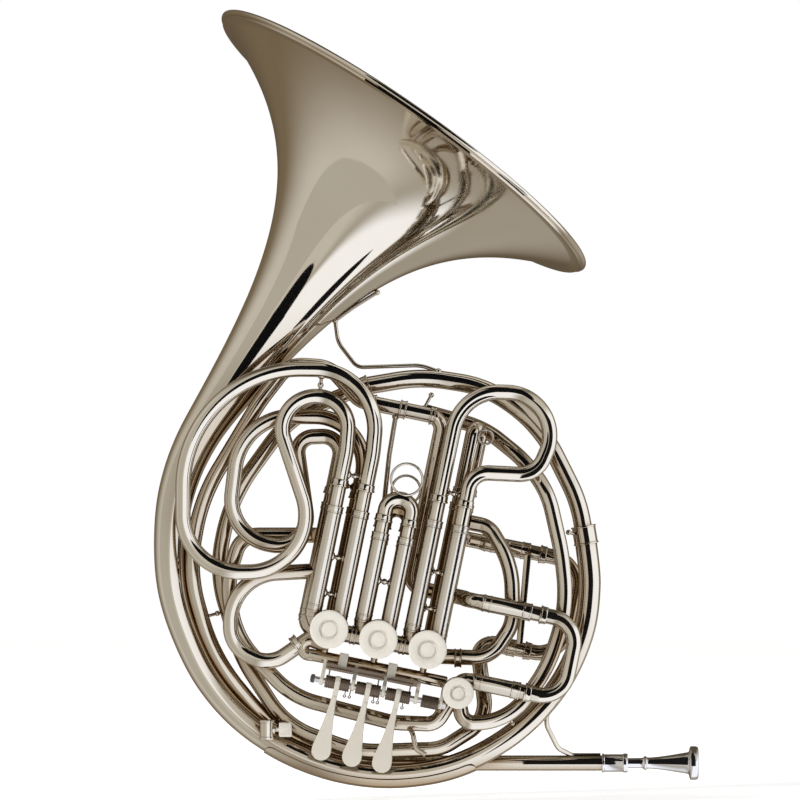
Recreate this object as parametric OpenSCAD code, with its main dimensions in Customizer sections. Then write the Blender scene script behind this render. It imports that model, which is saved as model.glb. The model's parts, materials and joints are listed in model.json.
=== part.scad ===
// French horn: a double horn with four rotary valves, built up as on the bench.
// X runs to the player's right along the body, Z up towards the bell, and the valve
// caps face -Y. The origin is the middle valve's axis. Sizes are in millimetres.

/* [Bell] */
// Radius of the bell's mouth
bell_r = 155.7; // [150:0.1:160]
// Length of the flare from the mouth to the bell branch
bell_len = 231; // [228:1:234]
// Distance that sets how fast the flare opens
flare_base = 130; // [120:1:140]
// Power of the flare
flare_power = 2.24; // [2.1:0.01:2.4]
// Thickness of the bell's sheet
bell_sheet = 0.6; // [0.4:0.1:1]
// Radius of the wire in the bell's rim
rim_wire_r = 1.6; // [1:0.1:2]

/* [Tubes] */
// Outer diameter of a slide's sleeve
sleeve_od = 11.6; // [11.4:0.1:12]
// Outer diameter of a slide's inner leg
leg_od = 10.4; // [10:0.1:10.6]
// Radial gap between a leg and its sleeve
slide_gap = 0.05; // [0.02:0.01:0.1]
// Outer diameter of a slide's crook and of the plain tubes
tube_od = 10.8; // [10.6:0.1:11]
// Bore of the cylindrical tubes
tube_bore = 9.4; // [9:0.1:9.6]
// Outer diameter of the first branch where it leaves the bell branch
first_branch_od = 12.6; // [12:0.1:13]

/* [Valves] */
// Distance between neighbouring valves
valve_pitch = 35; // [34.5:0.1:35.5]
// Tilt of the valve row, downwards to the right
valve_tilt = 11.6; // [11:0.1:12]
// Radius of a main valve's casing
casing_r = 12.8; // [12.5:0.1:13]
// Radius of a main valve's rotor
rotor_r = 11.4; // [11:0.1:11.6]
// Radius of a rotor's stem
stem_r = 3; // [2.5:0.1:3.2]
// Radius of the change valve's cap
change_cap_r = 11; // [10.5:0.1:11.3]

/* [Levers] */
// Distance between neighbouring finger levers
lever_pitch = 21.3; // [21:0.1:21.6]
// Length of a finger lever below its hinge
lever_len = 55; // [50:1:57]
// Radius of the levers' hinge rod
hinge_r = 2; // [1.8:0.1:2.2]
// Width of a lever's finger plate
plate_w = 13.6; // [12:0.1:14]

/* [Hidden] */
$fn = 64;

// Depths of the layers of tubes, front to back
y_front = -26;
y_tuning = -20;
y_bflat = -12;
y_cross = -8;
y_body = 8;

// Joints between tube sections: how far a straight run reaches over a bend's end
seat = 0.6;
seat_step = 0.1;

// Bell axis: it leans up and right, and the mouth turns away from the front
bell_lean = 55;
bell_turn = 7.5;
bell_dir = [cos(bell_lean) * cos(bell_turn), sin(bell_turn), sin(bell_lean) * cos(bell_turn)];
bell_tail = [-114, y_body, 161];
bell_mouth = bell_tail + bell_len * bell_dir;

// Places along the valve row (u) and across it (w)
slide_shift = -4;
leg_half = 9.25;
bflat_half = 9;
f_sleeve_tops = [85, 73, 89];

bflat_sleeve_tops = [86, 70, 104];
bflat_shift = [-8, -4, 0];
change_u = 62;
change_w = -25.6;
hinge_w = -36;
hinge_y = y_front;

brass = "#b9b0a0";
cream = "#e6e1d6";
silver = "#cbc8ce";
dark = "#4b433b";

// ---- Vectors, routes and tubes ----

function unit(v) = v / norm(v);
function xyz(p) = [p[0], p[1], p[2]];
function turn_at(route, i) =
    acos(max(-1, min(1, unit(xyz(route[i]) - xyz(route[i - 1])) * unit(xyz(route[i + 1]) - xyz(route[i])))));
function tangent_len(route, i) =
    (i == 0 || i == len(route) - 1) ? 0 : route[i][3] * tan(turn_at(route, i) / 2);

// Lengthens a route at both ends, so that a bore opens both mouths of its tube.
function lengthened(route, by) =
    let (n = len(route) - 1,
         a = xyz(route[0]) - by * unit(xyz(route[1]) - xyz(route[0])),
         b = xyz(route[n]) + by * unit(xyz(route[n]) - xyz(route[n - 1])))
    [for (i = [0 : n]) i == 0 ? [a[0], a[1], a[2], 0] : i == n ? [b[0], b[1], b[2], 0] : route[i]];

// Turns +Z to a direction, at a place.
module aim(place, dir) {
    translate(place)
        rotate([0, acos(unit(dir)[2]), atan2(dir[1], dir[0])])
            children();
}

// A round bar along a route of corners [x, y, z, bend radius].
module bent(route, r) {
    last = len(route) - 1;
    for (i = [0 : last - 1]) {
        a = xyz(route[i]);
        b = xyz(route[i + 1]);
        back = i == 0 ? 0 : seat;
        ahead = i == last - 1 ? 0 : seat;
        run = norm(b - a) - tangent_len(route, i) - tangent_len(route, i + 1) + back + ahead;
        assert(run > back + ahead, "a bend is too wide for the run beside it");
        aim(a + unit(b - a) * (tangent_len(route, i) - back), b - a)
            cylinder(h = run, r = r + seat_step);
    }
    if (last > 1)
        for (i = [1 : last - 1])
            bend(route, i, r);
}

// The arc at one corner of a route.
module bend(route, i, r) {
    into = unit(xyz(route[i]) - xyz(route[i - 1]));
    out = unit(xyz(route[i + 1]) - xyz(route[i]));
    axis = unit(cross(into, out));
    inward = cross(axis, into);
    centre = xyz(route[i]) - into * tangent_len(route, i) + inward * route[i][3];
    multmatrix([
        [-inward[0], into[0], axis[0], centre[0]],
        [-inward[1], into[1], axis[1], centre[1]],
        [-inward[2], into[2], axis[2], centre[2]],
        [0, 0, 0, 1]
    ])
        rotate_extrude(angle = turn_at(route, i)) translate([route[i][3], 0]) circle(r);
}

module tube(route, od, bore) {
    difference() {
        bent(route, od / 2);
        bent(lengthened(route, 1), bore / 2);
    }
}

// A ferrule: a short band, with a bead at each end, around a tube.
module ferrule(place, dir, len, r_in, r_out) {
    aim(place, dir)
        translate([0, 0, -len / 2])
            difference() {
                union() {
                    cylinder(h = len, r = r_out);
                    cylinder(h = 1.2, r = r_out + 0.5);
                    translate([0, 0, len - 1.2]) cylinder(h = 1.2, r = r_out + 0.5);
                }
                translate([0, 0, -1]) cylinder(h = len + 2, r = r_in);
            }
}

// A strut between two points with a ball foot at each end.
module strut(a, b, r, foot) {
    aim(a, b - a) {
        cylinder(h = norm(b - a), r = r);
        sphere(foot);
        translate([0, 0, norm(b - a)]) sphere(foot);
    }
}

// The valve row's own frame: u along the row, w across it.
module valve_row() rotate([0, valve_tilt, 0]) children();
function u_of(i) = (i - 2) * valve_pitch;
function row_point(u, y, w) =
    [u * cos(valve_tilt) + w * sin(valve_tilt), y, -u * sin(valve_tilt) + w * cos(valve_tilt)];

// ---- Smooth sweeps for the tapered tubes ----

// A point on the smooth curve through hand-chosen points, at t counted in points.
function curve(pts, t) =
    let (n = len(pts) - 1, i = min(floor(t), n - 1), f = t - i,
         p0 = pts[max(i - 1, 0)], p1 = pts[i], p2 = pts[i + 1], p3 = pts[min(i + 2, n)])
    0.5 * (2 * p1 + (p2 - p0) * f + (2 * p0 - 5 * p1 + 4 * p2 - p3) * f * f
        + (3 * p1 - p0 - 3 * p2 + p3) * f * f * f);
function curve_dir(pts, t) =
    let (n = len(pts) - 1, e = 0.02)
    unit(curve(pts, min(t + e, n)) - curve(pts, max(t - e, 0)));

// One ring of points around the curve, in a plane that holds the Y axis.
function ring(pts, t, r, sides) =
    let (c = curve(pts, t), d = curve_dir(pts, t), side = unit(cross(d, [0, 1, 0])), up = cross(side, d))
    [for (k = [0 : sides - 1]) c + r * (cos(360 * k / sides) * side + sin(360 * k / sides) * up)];

// Part of a ring, from angle a0 to a1; angle 0 faces the inside of the body's loop.
function arc(pts, t, r, a0, a1, count) =
    let (c = curve(pts, t), d = curve_dir(pts, t), side = unit(cross(d, [0, 1, 0])), up = cross(side, d))
    [for (k = [0 : count - 1])
        let (a = a0 + (a1 - a0) * k / (count - 1)) c + r * (cos(a) * side + sin(a) * up)];

// The two triangles of a four-sided patch.
function patch(a, b, c, d) = [[a, c, b], [a, d, c]];

// A hollow tube swept along a curve, from radius r_start to r_end.
module tapered_tube(pts, r_start, r_end, power, wall, sides, rings) {
    n = len(pts) - 1;
    function radius(k) = r_end + (r_start - r_end) * pow(1 - k / rings, power);
    outer = [for (k = [0 : rings]) each ring(pts, n * k / rings, radius(k), sides)];
    inner = [for (k = [0 : rings]) each ring(pts, n * k / rings, radius(k) - wall, sides)];
    in0 = len(outer);
    top = rings * sides;
    function next(j) = (j + 1) % sides;
    polyhedron(
        points = concat(outer, inner),
        faces = concat(
            [for (k = [0 : rings - 1]) for (j = [0 : sides - 1]) let (a = k * sides, b = a + sides)
                each patch(a + j, b + j, b + next(j), a + next(j))],
            [for (k = [0 : rings - 1]) for (j = [0 : sides - 1]) let (a = in0 + k * sides, b = a + sides)
                each patch(a + next(j), b + next(j), b + j, a + j)],
            [for (j = [0 : sides - 1]) each patch(j, next(j), in0 + next(j), in0 + j)],
            [for (j = [0 : sides - 1]) each patch(top + next(j), top + j, in0 + top + j, in0 + top + next(j))]
        )
    );
}

// A strip of sheet laid on a swept tube between two places and two angles.
module shell_strip(pts, t0, t1, r_in, r_out, a0, a1, sides, rings) {
    rows = [for (k = [0 : rings]) let (t = t0 + (t1 - t0) * k / rings)
        concat(arc(pts, t, r_out, a0, a1, sides), arc(pts, t, r_in, a1, a0, sides))];
    m = 2 * sides;
    top = rings * m;
    polyhedron(
        points = [for (row = rows) each row],
        faces = concat(
            [for (k = [0 : rings - 1]) for (j = [0 : m - 1]) let (a = k * m, b = a + m, i = (j + 1) % m)
                each patch(a + j, b + j, b + i, a + i)],
            [for (j = [0 : sides - 2]) each patch(j, j + 1, m - 2 - j, m - 1 - j)],
            [for (j = [0 : sides - 2]) each patch(top + j + 1, top + j, top + m - 1 - j, top + m - 2 - j)]
        )
    );
}

// ---- Bell, bell branch and first branch ----

function flare(z) = bell_r * pow(flare_base / (flare_base + z), flare_power);
function flare_slope(z) = flare_power * flare(z) / (flare_base + z);
function flare_inner(z) = flare(z) - bell_sheet * sqrt(1 + pow(flare_slope(z), 2));

module bell_flare() color(brass)
    aim(bell_mouth, -bell_dir)
        rotate_extrude($fn = 96) {
            steps = 40;
            zs = [for (k = [0 : steps]) bell_len * pow(k / steps, 1.5)];
            polygon(concat(
                [for (z = zs) [flare(z), z]],
                [for (k = [steps : -1 : 0]) [flare_inner(zs[k]), zs[k]]]
            ));
        }

module bell_rim_wire() color(brass)
    aim(bell_mouth, -bell_dir)
        rotate_extrude($fn = 96) translate([bell_r - rim_wire_r, 0]) circle(rim_wire_r, $fn = 32);

branch_points = [
    [-112, 8.3, 164], [-130, 8, 134], [-142, 8, 100], [-146, 8, 65], [-144, 8, 32],
    [-134, 8, -1], [-118, 8, -32], [-94, 8, -59], [-62, 8, -80], [-24, 8, -93],
    [16, 8, -96], [57, 8, -88], [96, 8, -66], [126, 8, -34], [143, 8, 2],
    [148, 8, 36], [145.5, 8, 66]
];
module bell_branch() color(brass) tapered_tube(branch_points, 15.9, 7.7, 3.8, 0.7, 24, 56);

module body_guard() color(brass)
    shell_strip(branch_points, 7.6, 11.2, 8.6, 9.4, 110, 250, 9, 10);

module bell_ferrule() color(brass)
    ferrule([144.6, y_body, 72], [-1, 0, 6], 13, first_branch_od / 2 + 0.1, 8.3);

branch_step = [-10, 14, 176];
branch_step_dir = [-5, 0, -2];
module first_branch() color(brass) {
    tube([[145.3, 8, 67, 0], [140, 10, 96, 95], [113, 12, 150, 98], [75, 13.5, 176, 80], [30, 14, 183, 110],
        [-9, 14, 176.4, 0]], first_branch_od, first_branch_od - 1.4);
    ferrule(branch_step, branch_step_dir, 8, 5, 7);
    tube([[-11, 14, 175.6, 0], [-62, 13, 155, 80], [-104, 11, 97, 120], [-114, 11.5, 45, 90],
        [-96, 10.5, -14, 100], [-65, 9, -62, 60], [-14, 7, -80, 80], [44, 7, -78, 30], [76, 11, -58, 24],
        concat(row_point(68, f_tuning_y, f_tuning_ws[1]), 9),
        concat(row_point(81.8, f_tuning_y, f_tuning_ws[1]), 0)],
        tube_od, tube_bore);
}

module bell_brace() color(brass) {
    bent([[-1, 25, 242.2, 0], [-17, 23, 232.2, 40], [-30.5, 21, 222.4, 4], [-28.5, 20, 207, 18],
        [-15, 17, 189.5, 9], [30, 14, 191, 30], [42, 13, 186.5, 0]], 1.4);
    translate([-1, 25, 242.2]) sphere(2);
    translate([-30.5, 21, 222]) sphere(2);
    translate([42, 13, 186.5]) sphere(2.4);
}

// ---- Leadpipe and mouthpiece ----

mouth_y = 23;
mouth_z = -88.5;
receiver_x = 165;
receiver_len = 10;

module leadpipe() color(brass)
    tube([[receiver_x, mouth_y, mouth_z, 0], [-12, mouth_y, -89, 120], [-73, 17, -66, 110],
        [-116, 8, -14, 130], [-133, 5, 46, 105], [-124, 4, 98, 125], [-83.5, 0.5, 165, 120],
        [-63, 0.5, 191.5, 20], [-34, 0.5, 189.5, 22], [-13, 0.5, 166, 14], [45.6, 0.5, 154, 10],
        concat(row_point(13.7, 13.5, 39.3), 10), concat(row_point(54, 13.5, 39.3), 9),
        concat(row_point(54, y_tuning, 39.3), 9), concat(row_point(66, y_tuning, 39.3), 0)],
        tube_od, tube_bore);

module mouthpiece_receiver() color(silver)
    translate([receiver_x - 8, mouth_y, mouth_z])
        rotate([0, 90, 0])
            difference() {
                union() {
                    cylinder(h = receiver_len + 8, r = 6.2);
                    translate([0, 0, receiver_len + 5]) cylinder(h = 3, r = 6.7);
                    cylinder(h = 1.5, r = 6.7);
                }
                translate([0, 0, -1]) cylinder(h = 8.6, r = tube_od / 2);
                translate([0, 0, 5]) cylinder(h = receiver_len + 5, r = 3.55);
            }

module mouthpiece() color(silver)
    translate([receiver_x + 2, mouth_y, mouth_z])
        rotate([0, 90, 0])
            rotate_extrude()
                polygon([
                    [2.2, 0], [3.5, 0], [3.5, 15], [3.7, 19], [4.9, 19.6], [4.9, 21], [3.9, 21.6],
                    [4, 25], [4.6, 31], [5.6, 38], [6.8, 45], [7.6, 50], [8, 51], [11.4, 51.6],
                    [11.9, 52.6], [11.9, 56], [11.2, 57.4], [10, 57.8], [9, 57.2], [8.6, 56],
                    [7.2, 52], [6, 47], [4.8, 41], [3.2, 34], [2.2, 28]
                ]);

module leadpipe_brace() color(brass) {
    bent([[118, 10, -52, 0], [118, 13, -62, 10], [126, 18, -78, 10], [136, mouth_y, -83.2, 8],
        [156, mouth_y, -83.2, 0]], 1.7);
    translate([118, 10, -52]) sphere(3);
}

// ---- Valves ----

valve_back = -3;
valve_front = -34;
change_front = -30;
change_r = 10.3;
change_rotor_r = 9;

// Stands a valve part on its axis, with its own z running from front to back.
module on_valve(u, w) valve_row() translate([u, 0, w]) rotate([-90, 0, 0]) children();

module casing(u, w, front, r, rotor) on_valve(u, w)
    translate([0, 0, front])
        difference() {
            union() {
                cylinder(h = valve_back - front, r = r);
                cylinder(h = 2.2, r = r + 0.5);
                translate([0, 0, valve_back - front - 2.2]) cylinder(h = 2.2, r = r + 0.5);
            }
            translate([0, 0, -1]) cylinder(h = valve_back - front + 2, r = rotor + slide_gap);
        }

// A rotor: its barrel with the two bowed passages, and the stem that turns it.
module rotor(u, w, front, r) on_valve(u, w) {
    bottom = front + 0.8;
    top = valve_back - 1.2;
    difference() {
        translate([0, 0, bottom]) cylinder(h = top - bottom, r = r);
        for (side = [-1, 1]) for (deck = [0.25, 0.72])
            translate([side * (r + 1), -r * 1.2, bottom + deck * (top - bottom)])
                rotate([-90, 0, 0]) cylinder(h = 2.4 * r, r = r * 0.42);
    }
    translate([0, 0, top - 1]) cylinder(h = 12, r = stem_r);
}

// A screw cap: knurled rim, recessed face and a raised middle.
module cap(u, w, front, r) on_valve(u, w)
    translate([0, 0, front])
        difference() {
            union() {
                translate([0, 0, -4.4]) cylinder(h = 4.2, r = r);
                translate([0, 0, -5]) cylinder(h = 0.7, r = r - 0.8);
            }
            translate([0, 0, -5.6])
                difference() {
                    cylinder(h = 1.9, r = r * 0.55);
                    translate([0, 0, -1]) cylinder(h = 4, r = r * 0.43);
                }
            translate([0, 0, -1.4]) cylinder(h = 2, r = r - 3);
        }

module valve_casing_1() color(brass) casing(u_of(1), 0, valve_front, casing_r, rotor_r);
module valve_casing_2() color(brass) casing(u_of(2), 0, valve_front, casing_r, rotor_r);
module valve_casing_3() color(brass) casing(u_of(3), 0, valve_front, casing_r, rotor_r);
module change_valve_casing() color(brass) casing(change_u, change_w, change_front, change_r, change_rotor_r);

module valve_rotor_1() color(dark) rotor(u_of(1), 0, valve_front, rotor_r);
module valve_rotor_2() color(dark) rotor(u_of(2), 0, valve_front, rotor_r);
module valve_rotor_3() color(dark) rotor(u_of(3), 0, valve_front, rotor_r);
module change_valve_rotor() color(dark) rotor(change_u, change_w, change_front, change_rotor_r);

module valve_cap_1() color(cream) cap(u_of(1), 0, valve_front, casing_r + 0.7);
module valve_cap_2() color(cream) cap(u_of(2), 0, valve_front, casing_r + 0.7);
module valve_cap_3() color(cream) cap(u_of(3), 0, valve_front, casing_r + 0.7);
module change_valve_cap() color(cream) cap(change_u, change_w, change_front, change_cap_r);

// Which side of each main valve's hub its string runs on: +1 is +u.
string_side = [1, 1, -1];
string_off = 6.2;
bumper_r = 1.5;
arm_half = 1.3;
function arm_rest(side) = side > 0 ? 45 : 135;

// The plate that closes a casing's back, with two cork bumpers for the stop arm.
module bearing_plate(u, w, r, side) on_valve(u, w) {
    difference() {
        translate([0, 0, valve_back - 0.8]) cylinder(h = 3, r = r + 0.2);
        translate([0, 0, valve_back - 2]) cylinder(h = 6, r = stem_r + slide_gap);
    }
    reach = r - 2.2;
    miss = asin((bumper_r + arm_half) / reach) + 0.6;
    for (a = [arm_rest(side) + side * miss, arm_rest(side) - side * (90 + miss)])
        rotate(a) translate([reach, 0, valve_back + 1.8]) cylinder(h = 5, r = bumper_r);
}
module bearing_plates() color(brass) {
    for (i = [1 : 3]) bearing_plate(u_of(i), 0, rotor_r, string_side[i - 1]);
    bearing_plate(change_u, change_w, change_rotor_r, 1);
}

// The hub on the stem's end, with the arm that strikes the bumpers.
module stop_arm(u, w, side) on_valve(u, w)
    translate([0, 0, valve_back + 2.8])
        difference() {
            union() {
                cylinder(h = 4.4, r = 5);
                rotate(arm_rest(side)) translate([0, -arm_half, 0]) cube([9, 2 * arm_half, 2.6]);
            }
            translate([0, 0, -1]) cylinder(h = 7, r = stem_r - 0.1);
        }
module stop_arm_1() color(brass) stop_arm(u_of(1), 0, string_side[0]);
module stop_arm_2() color(brass) stop_arm(u_of(2), 0, string_side[1]);
module stop_arm_3() color(brass) stop_arm(u_of(3), 0, string_side[2]);
module change_stop_arm() color(brass) stop_arm(change_u, change_w, 1);

// ---- Levers ----

lever_us = [-lever_pitch - 0.5, 0, lever_pitch];
arm_reach = 34;
string_len = 10;
thumb_bar_y = 6.6;

// The outline of a finger lever: a narrow stem that widens to a round plate.
module lever_outline() {
    hull() {
        translate([0, -4]) circle(2);
        translate([0, -12]) circle(1.8);
    }
    hull() {
        translate([0, -12]) circle(1.8);
        translate([-1.6, -lever_len + plate_w / 2]) circle(plate_w / 2, $fn = 48);
    }
}

// One finger lever, with its hub on the rod and its long arm back to the string.
module finger_lever(i) {
    u = lever_us[i - 1];
    arm_u = u_of(i) + string_side[i - 1] * string_off;
    valve_row() {
        difference() {
            union() {
                translate([u - 6.5, hinge_y, hinge_w]) rotate([0, 90, 0]) cylinder(h = 13, r = 3);
                translate([u, hinge_y - 1, hinge_w])
                    rotate([90, 0, 0]) linear_extrude(2) lever_outline();
                translate([min(u, arm_u) - 1.5, hinge_y, hinge_w - 2.9])
                    cube([abs(arm_u - u) + 3, 3.4, 2.2]);
                translate([arm_u - 1.5, hinge_y, hinge_w - 2.9]) cube([3, arm_reach, 2.4]);
            }
            translate([u - 20, hinge_y, hinge_w]) rotate([0, 90, 0]) cylinder(h = 40, r = hinge_r + slide_gap);
        }
    }
}
module finger_lever_1() color(cream) finger_lever(1);
module finger_lever_2() color(cream) finger_lever(2);
module finger_lever_3() color(cream) finger_lever(3);

// The cord that winds on the stop arm's hub, held at its lever's end.
module lever_string(i) valve_row()
    translate([u_of(i) + string_side[i - 1] * string_off, hinge_y + arm_reach - 2.5, hinge_w - 1.2])
        cylinder(h = string_len, r = 0.6);
module lever_string_1() color(dark) lever_string(1);
module lever_string_2() color(dark) lever_string(2);
module lever_string_3() color(dark) lever_string(3);
module thumb_string() color(dark) valve_row()
    translate([change_u + string_off, thumb_bar_y + 1.6, hinge_w - 1.2])
        cylinder(h = string_len, r = 0.6);

thumb_u = 44;
module thumb_lever() color(cream) valve_row()
    difference() {
        union() {
            translate([thumb_u - 6, hinge_y, hinge_w]) rotate([0, 90, 0]) cylinder(h = 12, r = 3);
            translate([thumb_u - 2, hinge_y, hinge_w - 2.9]) cube([4, 58, 2.6]);
            translate([thumb_u - 2, thumb_bar_y, hinge_w - 2.9])
                cube([change_u + string_off - thumb_u + 3.5, 3.2, 2.4]);
            translate([thumb_u, hinge_y + 62, hinge_w - 3]) cylinder(h = 2.8, r = 8.5);
        }
        translate([thumb_u - 20, hinge_y, hinge_w]) rotate([0, 90, 0]) cylinder(h = 40, r = hinge_r + slide_gap);
    }

rod_start = -38;
rod_end = 53;
module hinge_rod() color(silver) valve_row() {
    translate([rod_start, hinge_y, hinge_w]) rotate([0, 90, 0]) cylinder(h = rod_end - rod_start, r = hinge_r);
    translate([rod_start - 3, hinge_y, hinge_w]) rotate([0, 90, 0]) cylinder(h = 3, r = 3);
    translate([rod_end, hinge_y, hinge_w]) rotate([0, 90, 0]) cylinder(h = 2.5, r = 3);
}

rail_w = -20.5;
rail_y = -15;
rail_r = 4.2;
post_us = [-33, -11, 10.7, 34, 51.6];
module lever_posts() color(cream) valve_row()
    for (u = post_us)
        difference() {
            hull() {
                translate([u - 1.3, hinge_y, hinge_w]) rotate([0, 90, 0]) cylinder(h = 2.6, r = 3.4);
                translate([u - 1.3, rail_y - 2, rail_w - 2]) rotate([0, 90, 0]) cylinder(h = 2.6, r = 2.4);
            }
            translate([u - 5, hinge_y, hinge_w]) rotate([0, 90, 0]) cylinder(h = 10, r = hinge_r - 0.05);
        }

module lever_springs() color(dark) valve_row()
    for (u = concat([lever_us[0] + 2.6, lever_us[1] - 6.4, lever_us[2] - 6.4], [thumb_u - 5.9]))
        translate([u, hinge_y, hinge_w]) rotate([0, 90, 0])
            difference() {
                cylinder(h = 3.8, r = 4);
                translate([0, 0, -1]) cylinder(h = 6, r = 3.1);
            }

module lever_rail() color(brass) valve_row() {
    translate([-46, rail_y, rail_w]) rotate([0, 90, 0]) cylinder(h = 99, r = rail_r);
    for (u = [u_of(1), u_of(2), u_of(3)])
        translate([u, rail_y, rail_w]) cylinder(h = -rail_w - casing_r + 0.6, r = 2.4);
}

// ---- Slides ----

function low_end(offset) = sqrt(pow(casing_r - 0.7, 2) - pow(max(abs(offset) - sleeve_od / 2, 0), 2));

// One sleeve along w, with a bead at its mouth.
module sleeve(u, y, low, high) valve_row()
    difference() {
        union() {
            translate([u, y, low]) cylinder(h = high - low, r = sleeve_od / 2);
            translate([u, y, high - 5]) cylinder(h = 5, r = sleeve_od / 2 + 0.5);
        }
        translate([u, y, low - 1]) cylinder(h = high - low + 2, r = leg_od / 2 + slide_gap);
    }

function f_leg(i, side) = u_of(i) + slide_shift + side * leg_half;
function bflat_leg(i, side) =
    i == 3 ? [u_of(3) + (side < 0 ? 1 : 6), side < 0 ? y_bflat : 0]
    : [u_of(i) + bflat_shift[i - 1] + side * bflat_half, y_bflat];

module f_slide_sleeves() color(brass)
    for (i = [1 : 3]) for (side = [-1, 1])
        sleeve(f_leg(i, side), y_front, low_end(f_leg(i, side) - u_of(i)), f_sleeve_tops[i - 1]);

module bflat_slide_sleeves() color(brass)
    for (i = [1 : 3]) for (side = [-1, 1])
        sleeve(bflat_leg(i, side)[0], bflat_leg(i, side)[1],
            low_end(bflat_leg(i, side)[0] - u_of(i)), bflat_sleeve_tops[i - 1]);

// A crook: its bent tube, the two legs below it and a ferrule where each leg begins.
// The route starts and ends at the ferrules, with its first and last runs along +Z.
module crook(route, leg_len) {
    last = len(route) - 1;
    ends = [route[0], route[last]];
    low = [for (i = [0 : last]) i == 0 || i == last ? route[i] - [0, 0, leg_len + 1, 0] : route[i]];
    difference() {
        union() {
            bent(route, tube_od / 2);
            for (e = ends) {
                translate([e[0], e[1], e[2] - leg_len]) cylinder(h = leg_len + 3, r = leg_od / 2);
                translate([e[0], e[1], e[2]]) cylinder(h = 5, r = tube_od / 2 + 0.7);
                translate([e[0], e[1], e[2]]) cylinder(h = 1.4, r = tube_od / 2 + 1.2);
            }
        }
        bent(low, tube_bore / 2);
    }
}

// A finger ring standing on a crook's bow.
module pull_ring(place, r, turn) translate(place) rotate([90, 0, turn])
    rotate_extrude() translate([r, 0]) circle(0.9, $fn = 24);

f_leg_len = 48;
module first_f_crook() color(brass) valve_row()
    crook([
        [f_leg(1, 1), y_front, 99, 0], [f_leg(1, 1), y_front, 125, 80], [-36, y_front, 184, 42],
        [-171, y_front, 158, 82], [-143, y_front, 18, 40], [-44, y_front, 39, 40],
        [-108, y_front, 150, 23], [-53, y_front, 162, 22], [f_leg(1, -1), y_front, 124, 60],
        [f_leg(1, -1), y_front, 99, 0]
    ], f_leg_len);

module second_f_crook() color(brass) valve_row() {
    crook([
        [f_leg(2, -1), y_front, 81, 0], [f_leg(2, -1), y_front, 98.5, leg_half - 0.25],
        [f_leg(2, 1), y_front, 98.5, leg_half - 0.25], [f_leg(2, 1), y_front, 81, 0]
    ], 40);
    pull_ring([u_of(2) + slide_shift + 1, y_front - 4, 113], 11, 0);
}

module third_f_crook() color(brass) valve_row()
    crook([
        [f_leg(3, -1), y_front, 102, 0], [f_leg(3, -1), y_front, 181, 32],
        [97, y_front, 194, 30], [85, y_front, 134, 18],
        [f_leg(3, 1), y_front, 127, 14], [f_leg(3, 1), y_front, 102, 0]
    ], f_leg_len);

module first_bflat_crook() color(brass) valve_row()
    crook([
        [bflat_leg(1, 1)[0], y_bflat, 92, 0], [bflat_leg(1, 1)[0], y_bflat, 151, 34],
        [-125, y_bflat, 133, 40], [-118, y_bflat, 48, 32], [-58, y_bflat, 50, 20],
        [-85, y_bflat, 126, 11], [bflat_leg(1, -1)[0], y_bflat, 134, 12],
        [bflat_leg(1, -1)[0], y_bflat, 92, 0]
    ], 40);

module second_bflat_crook() color(brass) valve_row() {
    crook([
        [bflat_leg(2, -1)[0], y_bflat, 76, 0], [bflat_leg(2, -1)[0], y_bflat, 91, bflat_half - 0.25],
        [bflat_leg(2, 1)[0], y_bflat, 91, bflat_half - 0.25], [bflat_leg(2, 1)[0], y_bflat, 76, 0]
    ], 36);
    pull_ring([u_of(2) - 2, y_bflat, 105.5], 10, 0);
}

module third_bflat_crook() color(brass) valve_row() {
    a = bflat_leg(3, -1);
    b = bflat_leg(3, 1);
    bow = norm(b - a) / 2 - 0.25;
    crook([
        [a[0], a[1], 110, 0], [a[0], a[1], 158, bow], [b[0], b[1], 158, bow], [b[0], b[1], 110, 0]
    ], 50);
    pull_ring([a[0] + 9, a[1] - 4, 153], 5, 0);
}

// The tuning slides lie along the row: their own z runs along +u, and x along -w.
module along_row() valve_row() rotate([0, 90, 0]) children();

tuning_ws = [39.3, -16];
f_tuning_ws = [80, 11.5];
f_tuning_y = 21.7;

module row_sleeve(w, y, from, to) along_row()
    difference() {
        union() {
            translate([-w, y, from]) cylinder(h = to - from, r = sleeve_od / 2);
            translate([-w, y, to - 6]) cylinder(h = 6, r = sleeve_od / 2 + 0.5);
        }
        translate([-w, y, from - 1]) cylinder(h = to - from + 2, r = leg_od / 2 + slide_gap);
    }

module tuning_sleeves() color(brass) {
    row_sleeve(tuning_ws[0], y_tuning, 66.5, 101);
    row_sleeve(tuning_ws[1], y_tuning, 71, 104);
}

module f_tuning_sleeves() color(brass) {
    tube([
        concat(row_point(bflat_leg(3, 1)[0], 5.6, f_tuning_ws[0]), 0),
        concat(row_point(bflat_leg(3, 1)[0], f_tuning_y, f_tuning_ws[0]), 9),
        concat(row_point(60.6, f_tuning_y, f_tuning_ws[0]), 0)
    ], tube_od, tube_bore);
    row_sleeve(f_tuning_ws[0], f_tuning_y, 60, 92);
    row_sleeve(f_tuning_ws[1], f_tuning_y, 81, 96);
}

module main_tuning_crook() color(brass) along_row()
    crook([
        [-tuning_ws[0], y_tuning, 107, 0], [-tuning_ws[0], y_tuning, 134.5, 18],
        [-tuning_ws[1], y_tuning, 134.5, 18], [-tuning_ws[1], y_tuning, 107, 0]
    ], 30);

module f_tuning_crook() color(brass) along_row()
    crook([
        [-f_tuning_ws[0], f_tuning_y, 99, 0], [-f_tuning_ws[0], f_tuning_y, 128, 19],
        [-f_tuning_ws[1], f_tuning_y, 128, 19], [-f_tuning_ws[1], f_tuning_y, 102, 0]
    ], 19);

// ---- Tubes fixed between the valves ----

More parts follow.
